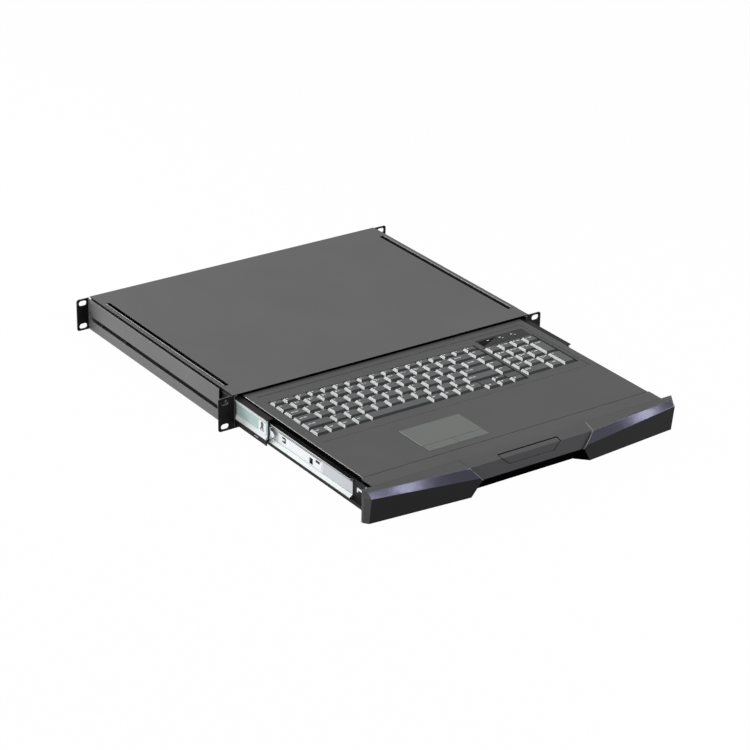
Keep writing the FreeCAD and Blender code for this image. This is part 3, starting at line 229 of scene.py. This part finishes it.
NODE_FINISH = {
    "chassis_pan": "cover_paint", "top_cover": "cover_paint", "drawer_tray": "channel_paint",
    "keyboard_deck": "deck_plastic", "key_plate": "channel_paint", "key_membrane": "membrane_sheet",
    "controller_board": "board_laminate", "touchpad": "touch_plastic", "indicator_panel": "panel_gloss",
    "indicator_lights": "light_plastic", "bezel_centre": "deck_plastic", "latch_paddle": "deck_plastic",
    "latch_arm": "channel_paint", "latch_pin": "bright_zinc", "bezel_brackets": "bright_zinc",
    "cover_screws": "screw_steel", "ear_screws": "screw_steel", "bracket_guide_studs": "ear_paint",
}
for stem, finish in (
    ("front_ear", "ear_paint"), ("rear_bracket", "bracket_paint"), ("cabinet_slide", "mint_zinc"),
    ("carriage_member", "mint_zinc"), ("carriage_channel", "channel_paint"),
    ("carriage_track", "bright_zinc"), ("carriage_end", "bright_zinc"),
    ("outer_retainer", "retainer_plastic"), ("inner_retainer", "retainer_plastic"),
    ("drawer_slide", "bright_zinc"), ("bezel_wing", "bezel_plastic"), ("touchpad_button", "touch_plastic"),
):
    for name in both(stem):
        NODE_FINISH[name] = finish
for name in KEY_NODES:
    NODE_FINISH[name] = "key_plastic"

for name, finish in NODE_FINISH.items():
    mesh = NODES[name].data
    mesh.materials.clear()
    mesh.materials.append(FINISHES[finish])


# Meshes and pieces

# Edges that bend more than this are sharp, and less than this are flat
SHARP = math.radians(28)
FLAT = math.radians(0.4)
WELD = 0.004 * MM


def working_copy(name):
    """A node's mesh to work on, its points welded."""
    work = bmesh.new()
    work.from_mesh(NODES[name].data)
    bmesh.ops.remove_doubles(work, verts=work.verts, dist=WELD)
    return work


def merge_flats(work):
    """Join the triangles of each flat face."""
    bmesh.ops.dissolve_limit(work, angle_limit=FLAT, verts=work.verts, edges=work.edges)


def finished_mesh(work, name, finishes):
    mesh = bpy.data.meshes.new(name)
    work.to_mesh(mesh)
    work.free()
    for finish in finishes:
        mesh.materials.append(FINISHES[finish])
    return mesh


def add_piece(name, mesh, like):
    """Put a mesh in the scene, moving with the node it belongs to."""
    piece = bpy.data.objects.new(name, mesh)
    scene.collection.objects.link(piece)
    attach(piece, body_of(NODES[like])[0])
    return piece


# Softened copies of the sharp solids

EDGE_SEGMENTS = 2
ROUND_PROFILE = 0.5
# A flat face is this many times larger than the bent ones beside it
FLAT_SHARE = 6


def bent_neighbours(face):
    """Faces that carry on this one in a shallow bend."""
    found = []
    for edge in face.edges:
        if len(edge.link_faces) == 2 and FLAT < edge.calc_face_angle(0) < SHARP:
            found += [other for other in edge.link_faces if other is not face]
    return found


def is_flat(face):
    beside = bent_neighbours(face)
    return not beside or face.calc_area() > FLAT_SHARE * max(other.calc_area() for other in beside)


def corner_normal(face, vert, flats):
    """Flat faces keep their own direction; rounded ones run smoothly into the flats beside them."""
    if face in flats:
        return face.normal.copy()
    near = [other for other in vert.link_faces if other.normal.angle(face.normal, 0) < 2 * SHARP]
    level = [other for other in near if other in flats]
    if level:
        return min(level, key=lambda other: other.normal.angle(face.normal, 0)).normal.copy()
    total = sum((other.normal * other.calc_area() for other in near), Vector())
    return total.normalized() if total.length else face.normal.copy()


def soften(name, width, choose, part_at):
    """A copy of a solid with rounded edges, in its place; part_at splits faces at a place in Y."""
    work = working_copy(name)
    merge_flats(work)
    flats = {face for face in work.faces if is_flat(face)}
    sharp = [edge for edge in work.edges
             if len(edge.link_faces) == 2 and edge.calc_face_angle(0) > SHARP]
    made = bmesh.ops.bevel(work, geom=sharp, offset=width * MM, offset_type="OFFSET",
                           segments=EDGE_SEGMENTS, profile=ROUND_PROFILE, affect="EDGES",
                           clamp_overlap=False)
    flats -= set(made["faces"])
    if part_at is not None:
        whole = work.verts[:] + work.edges[:] + work.faces[:]
        bmesh.ops.bisect_plane(work, geom=whole, plane_co=(0, part_at, 0), plane_no=(0, 1, 0))
        flats = {face for face in work.faces if is_flat(face)} - set(made["faces"])
    work.normal_update()
    finishes = [NODE_FINISH[name]]
    for face in work.faces:
        face.smooth = True
        finish = choose(face) if choose else None
        if finish and finish not in finishes:
            finishes.append(finish)
        face.material_index = finishes.index(finish) if finish else 0
    normals = [corner_normal(face, loop.vert, flats) for face in work.faces for loop in face.loops]
    mesh = finished_mesh(work, f"{name}_soft", finishes)
    mesh.normals_split_custom_set(normals)
    piece = add_piece(f"{name}_soft", mesh, name)
    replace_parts(piece, name)


# Finishes that change from face to face of one solid

# Places where they change
WING_INNER = 100 * MM
FACET_TOP = 38.25 * MM
RECESS_TOP = 20 * MM
POCKET_HALF = 43.5 * MM
POCKET_BACK = -287.0 * MM
POCKET_LOW = 27 * MM
POCKET_PLAY = 0.3 * MM
COVER_FRONT = -1.9 * MM
DECK_SIDE = 205 * MM
FILLER_LOW = 36 * MM
RIB_EDGE_LOW = 44.35 * MM
WALL_OUT = 210 * MM
END_MIDDLE = -58.5 * MM
END_HALF = 5.2 * MM
END_LARGEST = 60 * MM * MM
PLATE_FRONT = -176 * MM

# Shares of a face's direction: 1 faces straight along an axis, 0 square to it
STRAIGHT = 0.8
WEB_LEAN = 0.9
FRONT_LEAN = 0.5
UNDER_LEAN = 0.2
WALL_LEAN = 0.5
RIM_LEAN = (0.2, 0.9)
RIM_TILT = 0.1
END_LEAN = 0.4
TOP_RISE = 0.5
FACET_LEAN = 0.2
FACET_RISE = 0.15
POCKET_LEAN = 0.3
DECK_LEAN = 0.2
KEY_LEAN = 0.35
RACE_RISE = 0.25
RACE_LEAN = 0.2


def wing_finish(face):
    """Top strip and ends like the deck, a painted highlight on the rim at the seam, glossy facet, painted
    shade on the underside and the low walls at the seam.
    """
    centre, normal = face.calc_center_median(), face.normal
    at_seam = abs(centre.x) < WING_INNER
    lean = abs(normal.x)
    if normal.z < -UNDER_LEAN or (at_seam and lean > WALL_LEAN and centre.z < RECESS_TOP):
        return "hollow_black"
    if at_seam and RIM_LEAN[0] < lean < RIM_LEAN[1] and normal.y < -RIM_TILT and normal.z > RIM_TILT:
        return "rim_grey"
    if lean > END_LEAN or (centre.z > FACET_TOP and normal.z > TOP_RISE):
        return "deck_plastic"
    if normal.y < -FACET_LEAN and normal.z > FACET_RISE and lean < END_LEAN:
        return "facet_gloss"
    return None


def paddle_finish(face):
    """The front is duller than the top."""
    return "front_plastic" if face.normal.y < -FRONT_LEAN else None


def bezel_finish(face):
    """Painted shade: black underside and black walls round the latch paddle. The front is like the
    paddle's.
    """
    centre, normal = face.calc_center_median(), face.normal
    in_pocket = (abs(centre.x) < POCKET_HALF and centre.y < POCKET_BACK + POCKET_PLAY
                 and centre.z > POCKET_LOW)
    pocket_wall = abs(normal.x) > POCKET_LEAN or centre.y > POCKET_BACK - POCKET_PLAY
    if normal.z < -UNDER_LEAN or (in_pocket and pocket_wall):
        return "hollow_black"
    return paddle_finish(face)


def deck_finish(face):
    """Painted shade: black under the cover and on the sides over the slides. Painted highlight: the long
    edges get a paler, glossier plastic.
    """
    centre = face.calc_center_median()
    lean = abs(face.normal.x)
    if centre.y > COVER_FRONT:
        return "hollow_black"
    if abs(centre.x) < DECK_SIDE or lean < DECK_LEAN:
        return None
    return "hollow_black" if lean > STRAIGHT else "edge_gloss"


def filler_finish(face):
    """The fillers beside the up arrow key stand above the plate and look like the deck."""
    return "deck_plastic" if face.calc_center_median().z > FILLER_LOW else None


def key_finish(face):
    """Painted highlight: the flanks get a paler, glossier plastic. Painted shade: the fronts get a darker
    one.
    """
    if face.normal.y < -KEY_LEAN:
        return "key_front"
    return "key_flank" if abs(face.normal.x) > KEY_LEAN else None


def pan_finish(face):
    """The ribs' upper edges are pale bare metal with a painted highlight; the side walls behind the
    brackets are near-black, painted shade for the groove and the gap.
    """
    centre = face.calc_center_median()
    if centre.z > RIB_EDGE_LOW:
        return "rib_edge"
    return "wall_paint" if abs(face.normal.x) > STRAIGHT and abs(centre.x) > WALL_OUT else None


def cover_finish(face):
    """Painted shade: the front edge and the edges that face sideways are black."""
    shaded_edge = face.normal.y < -STRAIGHT or abs(face.normal.x) > STRAIGHT
    return "hollow_black" if shaded_edge else None


def bracket_finish(face):
    """Painted shade: faces that look forward or back, the rear ear's among them, are black; the long plate
    keeps the paler bracket paint.
    """
    return "ear_paint" if abs(face.normal.y) > STRAIGHT else None


def ear_finish(face):
    """Painted highlight: the top edges are as pale as the cover."""
    return "cover_paint" if face.normal.z > STRAIGHT else None


def end_finish(face):
    """Painted shade: the dimple and the walls of the slot are dark."""
    inside = abs(face.calc_center_median().y - END_MIDDLE) < END_HALF and face.calc_area() < END_LARGEST
    return "shade_steel" if inside else None


def member_finish(face):
    """The ball races are paler and less tinted than the web."""
    return "race_zinc" if abs(face.normal.z) > RACE_RISE else None


def drawer_member_finish(face):
    """Dark top and grey web in front of the raised plate, both painted shade; bright raised plate, satin
    races.
    """
    if face.normal.z > STRAIGHT:
        return "channel_paint"
    if abs(face.normal.z) > RACE_RISE and abs(face.normal.y) < RACE_LEAN:
        return "race_zinc"
    plain = abs(face.normal.x) > WEB_LEAN and face.calc_center_median().y < PLATE_FRONT
    return "grey_zinc" if plain else None


FACE_FINISH = {
    "bezel_centre": bezel_finish, "latch_paddle": paddle_finish, "keyboard_deck": deck_finish,
    "key_plate": filler_finish, "chassis_pan": pan_finish, "top_cover": cover_finish,
}
for stem, choose in (
    ("bezel_wing", wing_finish), ("carriage_member", member_finish), ("drawer_slide", drawer_member_finish),
    ("rear_bracket", bracket_finish), ("front_ear", ear_finish), ("carriage_end", end_finish),
):
    for name in both(stem):
        FACE_FINISH[name] = choose

# How wide the rounded edges are, in mm
KEY_SOFT_WIDTH = 0.22
SOFT_WIDTHS = {
    "chassis_pan": 0.25, "top_cover": 0.3, "keyboard_deck": 0.25, "touchpad": 0.15, "bezel_centre": 0.3,
    "latch_paddle": 0.3, "drawer_tray": 0.25, "key_plate": 0.15,
}
for stem, width in (
    ("front_ear", 0.3), ("rear_bracket", 0.25), ("carriage_member", 0.3), ("carriage_channel", 0.25),
    ("carriage_track", 0.2), ("drawer_slide", 0.25), ("touchpad_button", 0.2), ("bezel_wing", 0.3),
    ("carriage_end", 0.15),
):
    for name in both(stem):
        SOFT_WIDTHS[name] = width
for name in KEY_NODES:
    SOFT_WIDTHS[name] = KEY_SOFT_WIDTH
    FACE_FINISH[name] = key_finish
SPLITS = {"keyboard_deck": COVER_FRONT}
for name in both("drawer_slide"):
    SPLITS[name] = PLATE_FRONT
for name, width in SOFT_WIDTHS.items():
    soften(name, width, FACE_FINISH.get(name), SPLITS.get(name))


# Key marks: plain digits, signs, arrows and short bars

MARK_LIFT = 0.03 * MM
MARK_DEPTH = 0.08 * MM
DOWN = Vector((0, 0, -1))
# A key's top is this thin a layer, and tops this near in Y are in one row
TOP_LAYER = 0.1 * MM
ROW_STEP = 4 * MM

SIGNS = {
    "number_keys": [None] + list("1234567890") + [None, None],
    "numpad_keys": [None, "/", "*", "-"] + list("789456123") + ["."],
    "numpad_tall_keys": ["+", None],
    "numpad_zero_key": ["0"],
}
INSET = 1.7 * MM
SIGN_TALL = 4.0 * MM
SIGN_BOLD = 0.16 * MM
# A digit's height as a share of the font's size
FONT_SHARE = 0.7
ARROW_SIDE = 3.0 * MM
ARROW_SHAPE = [(0, 0.5), (0.5, -0.4), (-0.5, -0.4)]
ARROW_TURNS = [0, math.pi / 2, math.pi, -math.pi / 2]
# Length and depth of a short and a long bar
DASH = (1.9 * MM, 1.1 * MM)
WORD = (4.4 * MM, 1.1 * MM)
WORD_INSET = 3.2 * MM
WORD_DROP = 0.4
WIDE_KEY = 18 * MM
WORD_KEYS = ("navigation_keys", "modifier_keys")


def islands(name):
    """Groups of a node's points that belong together, one for each key."""
    work = working_copy(name)
    left = set(work.verts)
    groups = []
    while left:
        waiting = [left.pop()]
        found = list(waiting)
        while waiting:
            vert = waiting.pop()
            for link in vert.link_edges:
                other = link.other_vert(vert)
                if other in left:
                    left.remove(other)
                    waiting.append(other)
                    found.append(other)
        groups.append([vert.co.copy() for vert in found])
    work.free()
    return groups


def key_tops(name):
    """Left, right, back and front of each key's top, with its height, row by row from the back."""
    tops = []
    for points in islands(name):
        height = max(point.z for point in points)
        top = [point for point in points if point.z > height - TOP_LAYER]
        xs = [point.x for point in top]
        ys = [point.y for point in top]
        tops.append((min(xs), max(xs), max(ys), min(ys), height))
    return sorted(tops, key=lambda top: (-round(top[2] / ROW_STEP), top[0]))


def sink(work, way):
    """Make flat faces into thin solids that reach a little way into what they lie on."""
    made = bmesh.ops.extrude_face_region(work, geom=work.faces[:], use_keep_orig=True)
    verts = [item for item in made["geom"] if isinstance(item, bmesh.types.BMVert)]
    bmesh.ops.translate(work, verts=verts, vec=way * MARK_DEPTH)
    bmesh.ops.recalc_face_normals(work, faces=work.faces)


def bar(work, left, back, width, depth, height):
    corners = [(left, back - depth), (left + width, back - depth), (left + width, back), (left, back)]
    work.faces.new([work.verts.new((x, y, height)) for x, y in corners])


def glyph(work, text, left, back, height):
    """A plain sign from the built-in font, its top left corner at the given place."""
    curve = bpy.data.curves.new("sign", "FONT")
    curve.body = text
    curve.size = SIGN_TALL / FONT_SHARE
    curve.offset = SIGN_BOLD
    holder = bpy.data.objects.new("sign", curve)
    scene.collection.objects.link(holder)
    mesh = bpy.data.meshes.new_from_object(holder.evaluated_get(bpy.context.evaluated_depsgraph_get()))
    mesh.transform(Matrix.Translation((left, back - SIGN_TALL, height)))
    work.from_mesh(mesh)
    bpy.data.objects.remove(holder)
    bpy.data.curves.remove(curve)
    bpy.data.meshes.remove(mesh)


def arrow(work, left, back, height, turn):
    centre = Vector((left + ARROW_SIDE / 2, back - ARROW_SIDE / 2))
    spin = Matrix.Rotation(turn, 2)
    places = [centre + spin @ Vector(point) * ARROW_SIDE for point in ARROW_SHAPE]
    work.faces.new([work.verts.new((place.x, place.y, height)) for place in reversed(places)])


def dashes(work, name, left, right, back, front, height):
    """One short bar on a plain key, two longer ones in line, lower down, on a wide key."""
    wide = right - left > WIDE_KEY
    length, depth = WORD if wide or name in WORD_KEYS else DASH
    inset = WORD_INSET if wide else INSET
    drop = WORD_DROP * (back - front) if wide or name == "modifier_keys" else INSET
    for i in range(2 if wide else 1):
        bar(work, left + inset + i * (length + depth), back - drop, length, depth, height)


def add_marks(name):
    work = bmesh.new()
    signs = SIGNS.get(name)
    for i, (left, right, back, front, height) in enumerate(key_tops(name)):
        height += MARK_LIFT
        x, y = left + INSET, back - INSET
        if name == "arrow_keys":
            arrow(work, x, y, height, ARROW_TURNS[i])
        elif signs and signs[i]:
            glyph(work, signs[i], x, y, height)
            length, depth = DASH if name == "number_keys" else WORD
            bar(work, x + SIGN_TALL, y - SIGN_TALL / 3, length, depth, height)
        else:
            dashes(work, name, left, right, back, front, height)
    sink(work, DOWN)
    mesh = finished_mesh(work, f"{name}_marks", ["legend_ink"])
    piece = add_piece(f"{name}_marks", mesh, name)


for name in KEY_NODES:
    if name != "space_bar":
        add_marks(name)


# Inlays and small parts

SOCKET_RIM = 1.4 * MM
SOCKET_TAPER = 0.2 * MM
SOCKET_DEPTH = 0.6 * MM
HEAD_LEAN = 0.9
HEAD_PLAY = 0.1 * MM

# Indicator strip, in mm: its top, the black wedge at its left (a painted reflection of the dark cover), the
# lights and the marks beside them
PANEL_TOP = 40.23
REFLECTION_WEDGE = [(120.0, -43.5), (150.9, -27.4), (120.0, -28.5)]
LIGHT_PLACES = (134.0, 153.1, 172.3)
LIGHT_MARK = {"left": 1.6, "right": 3.6, "front": -34.6, "back": -33.6}

# Joint line before the bezel, and a painted highlight along the touchpad's left edge, in mm
JOINT = {"left": -207.0, "right": 207.0, "front": -254.8, "back": -254.2, "height": 41.02}
PAD_HIGHLIGHT = {"left": -106.8, "right": -106.3, "front": -227.6, "back": -181.6, "height": 41.37}

# Painted shadow lines along the drawer member's web, in mm
WEB_OUT = 209.14
LINE_FRONT = -237.0
LINE_BACK = 33.0
LINE_HEIGHTS = ((27.7, 29.0), (12.5, 12.9))

# Rounded tab at the front of each track, in mm; the right carriage stands further out
NOSE = [
    (-70.5, 25.5), (-75.5, 25.5), (-78.3, 24.0), (-79.5, 21.2), (-78.3, 18.4), (-75.5, 17.0), (-70.5, 17.0),
]
NOSE_SPAN = (212.9, 213.4)
CARRIAGE_LEAD = {"left": 0.0, "right": -22.5}

# Hook on each bezel bracket, in mm
HOOK = [(-262.5, 22.6), (-248.2, 22.6), (-248.2, 19.6), (-246.0, 19.6), (-246.0, 25.2), (-262.5, 25.2)]
HOOK_SPAN = (208.3, 209.1)


def inlay(name, like, finish, outlines, way=DOWN):
    """Thin flat marks lying on a surface, one for each outline."""
    work = bmesh.new()
    for outline in outlines:
        work.faces.new([work.verts.new(Vector(point) * MM) for point in outline])
    sink(work, way)
    mesh = finished_mesh(work, name, [finish])
    add_piece(name, mesh, like)


def level_strip(left, right, front, back, height):
    return [(left, front, height), (right, front, height), (right, back, height), (left, back, height)]


def upright_strip(x, front, back, low, high):
    return [(x, front, low), (x, back, low), (x, back, high), (x, front, high)]


def light_mark(place):
    return level_strip(place + LIGHT_MARK["left"], place + LIGHT_MARK["right"], LIGHT_MARK["front"],
                       LIGHT_MARK["back"], PANEL_TOP)


def plate_between(name, like, finish, outline, x_low, x_high):
    """A flat plate of a given outline in Y and Z, between two places in X."""
    work = bmesh.new()
    near = [work.verts.new(Vector((x_low, y, z)) * MM) for y, z in outline]
    far = [work.verts.new(Vector((x_high, y, z)) * MM) for y, z in outline]
    work.faces.new(near)
    work.faces.new(far)
    for i in range(len(outline)):
        follow = (i + 1) % len(outline)
        work.faces.new((near[i], near[follow], far[follow], far[i]))
    bmesh.ops.recalc_face_normals(work, faces=work.faces)
    mesh = finished_mesh(work, name, [finish])
    add_piece(name, mesh, like)


def socket_screws(name, axis):
    """Screw heads with a round socket sunk into each, in place of the plain ones; the socket floors are
    painted black as shade.
    """
    work = working_copy(name)
    merge_flats(work)
    reach = max(abs(vert.co[axis]) for vert in work.verts)
    tops = [face for face in work.faces if abs(face.normal[axis]) > HEAD_LEAN
            and abs(abs(face.calc_center_median()[axis]) - reach) < HEAD_PLAY]
    bmesh.ops.inset_individual(work, faces=tops, thickness=SOCKET_RIM, depth=0)
    bmesh.ops.inset_individual(work, faces=tops, thickness=SOCKET_TAPER, depth=-SOCKET_DEPTH)
    for face in tops:
        face.material_index = 1
    mesh = finished_mesh(work, f"{name}_socketed", [NODE_FINISH[name], "inlay_black"])
    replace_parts(add_piece(f"{name}_socketed", mesh, name), name)


socket_screws("cover_screws", 1)
socket_screws("ear_screws", 0)
# painted reflection: a black wedge on the glossy indicator strip
inlay("panel_reflection_wedge", "indicator_panel", "inlay_black", [[(x, y, PANEL_TOP) for x, y in REFLECTION_WEDGE]])
inlay("panel_marks", "indicator_panel", "legend_ink", [light_mark(place) for place in LIGHT_PLACES])
inlay("front_joint", "keyboard_deck", "inlay_black", [level_strip(**JOINT)])
# painted highlight along the touchpad's left edge
inlay("touchpad_highlight", "touchpad", "rim_grey", [level_strip(**PAD_HIGHLIGHT)])
for side, sign in SIDES:
    # painted shadow lines along each drawer member's web
    lines = [upright_strip(sign * WEB_OUT, LINE_FRONT, LINE_BACK, low, high) for low, high in LINE_HEIGHTS]
    inlay(f"race_shadow_lines_{side}", f"drawer_slide_{side}", "race_line", lines, Vector((-sign, 0, 0)))
    nose = [(y + CARRIAGE_LEAD[side], z) for y, z in NOSE]
    plate_between(f"track_nose_{side}", f"carriage_track_{side}", "bright_zinc", nose,
                  *(sign * x for x in NOSE_SPAN))
    plate_between(f"bracket_hook_{side}", "bezel_brackets", "bright_zinc", HOOK,
                  *(sign * x for x in HOOK_SPAN))


# Floor, light and camera

FLOOR_REACH = 12.0
FLOOR_DROP = 0.2 * MM
FLOOR_GREY = 0.55
# How much of the floor's look is plain white where it is seen; the rest takes the shadow
FLOOR_GLOW = 0.985
AMBIENT = 0.22

# Each soft box's place, what it points at, its width and height, and its radiance
SOFTBOXES = {
    "key_softbox": ((-1.00, 1.39, 0.99), (0.0, -0.05, 0.0), 1.2, 0.8, 13.0),
    "left_softbox": ((-1.95, -0.35, 0.60), (-0.2, -0.05, 0.0), 1.2, 0.8, 4.5),
    "top_softbox": ((0.80, -0.70, 1.60), (-0.20, -0.29, 0.03), 0.7, 0.5, 8.0),
    "front_left_softbox": ((0.66, -1.74, 1.22), (-0.17, -0.29, 0.03), 0.7, 0.7, 14.0),
    "front_right_softbox": ((1.54, -1.42, 1.00), (0.18, -0.29, 0.03), 0.7, 0.6, 14.0),
}

# The photograph's view: azimuth, elevation and roll in degrees, place in metres, lens in mm
CAMERA_TURN = (-35.066, 25.209, 1.078)
CAMERA_PLACE = (-1.7015, -2.4032, 1.4002)
CAMERA_LENS = 126.37
CAMERA_SENSOR = 36


def seen_directly(tree):
    """One for camera, mirror and glass rays, nought for the rays that carry light."""
    path = tree.nodes.new("ShaderNodeLightPath")
    most = path.outputs["Is Camera Ray"]
    for ray in ("Is Glossy Ray", "Is Transmission Ray"):
        larger = tree.nodes.new("ShaderNodeMath")
        larger.operation = "MAXIMUM"
        tree.links.new(most, larger.inputs[0])
        tree.links.new(path.outputs[ray], larger.inputs[1])
        most = larger.outputs[0]
    return most


def build_floor():
    """White floor: it glows where it is looked at, and still takes a faint shadow."""
    mesh = bpy.data.meshes.new("floor")
    corners = [(x * FLOOR_REACH, y * FLOOR_REACH, 0) for x, y in ((-1, -1), (1, -1), (1, 1), (-1, 1))]
    mesh.from_pydata(corners, [], [(0, 1, 2, 3)])
    floor = bpy.data.objects.new("floor", mesh)
    floor.location.z = -FLOOR_DROP
    scene.collection.objects.link(floor)
    mat, tree, shader = node_tree("floor_white")
    shader.inputs["Base Color"].default_value = (FLOOR_GREY, FLOOR_GREY, FLOOR_GREY, 1)
    shader.inputs["Roughness"].default_value = 1.0
    shader.inputs["Specular IOR Level"].default_value = 0.0
    glow = tree.nodes.new("ShaderNodeEmission")
    glow.inputs["Strength"].default_value = 1.0
    share = tree.nodes.new("ShaderNodeMath")
    share.operation = "MULTIPLY"
    share.inputs[1].default_value = FLOOR_GLOW
    tree.links.new(seen_directly(tree), share.inputs[0])
    mix = tree.nodes.new("ShaderNodeMixShader")
    tree.links.new(share.outputs[0], mix.inputs[0])
    tree.links.new(shader.outputs["BSDF"], mix.inputs[1])
    tree.links.new(glow.outputs["Emission"], mix.inputs[2])
    tree.links.new(mix.outputs["Shader"], tree.nodes["Material Output"].inputs["Surface"])
    mesh.materials.append(mat)


def build_world():
    """White where it is looked at, and a weak even light on the object."""
    world = bpy.data.worlds.new("studio")
    scene.world = world
    world.use_nodes = True
    tree = world.node_tree
    ambient = tree.nodes["Background"]
    ambient.inputs["Color"].default_value = (1, 1, 1, 1)
    ambient.inputs["Strength"].default_value = AMBIENT
    white = tree.nodes.new("ShaderNodeBackground")
    white.inputs["Strength"].default_value = 1.0
    mix = tree.nodes.new("ShaderNodeMixShader")
    tree.links.new(seen_directly(tree), mix.inputs[0])
    tree.links.new(ambient.outputs["Background"], mix.inputs[1])
    tree.links.new(white.outputs["Background"], mix.inputs[2])
    tree.links.new(mix.outputs["Shader"], tree.nodes["World Output"].inputs["Surface"])


def add_softbox(name, place, target, width, height, radiance):
    data = bpy.data.lights.new(name, "AREA")
    data.shape = "RECTANGLE"
    data.size = width
    data.size_y = height
    data.energy = radiance * math.pi * width * height
    lamp = bpy.data.objects.new(name, data)
    lamp.location = place
    lamp.rotation_euler = (Vector(target) - Vector(place)).to_track_quat("-Z", "Y").to_euler()
    scene.collection.objects.link(lamp)


def build_camera():
    azimuth, elevation, roll = (math.radians(angle) for angle in CAMERA_TURN)
    back = Vector((math.sin(azimuth) * math.cos(elevation), -math.cos(azimuth) * math.cos(elevation),
                   math.sin(elevation)))
    level = Vector((math.cos(azimuth), math.sin(azimuth), 0))
    upright = back.cross(level)
    right = math.cos(roll) * level + math.sin(roll) * upright
    up = -math.sin(roll) * level + math.cos(roll) * upright
    turn = Matrix((right, up, back)).transposed().to_4x4()
    data = bpy.data.cameras.new("camera")
    data.sensor_width = CAMERA_SENSOR
    data.lens = CAMERA_LENS
    camera = bpy.data.objects.new("camera", data)
    camera.matrix_world = Matrix.Translation(CAMERA_PLACE) @ turn
    scene.collection.objects.link(camera)
    scene.camera = camera


build_floor()
build_world()
for name, setting in SOFTBOXES.items():
    add_softbox(name, *setting)
build_camera()
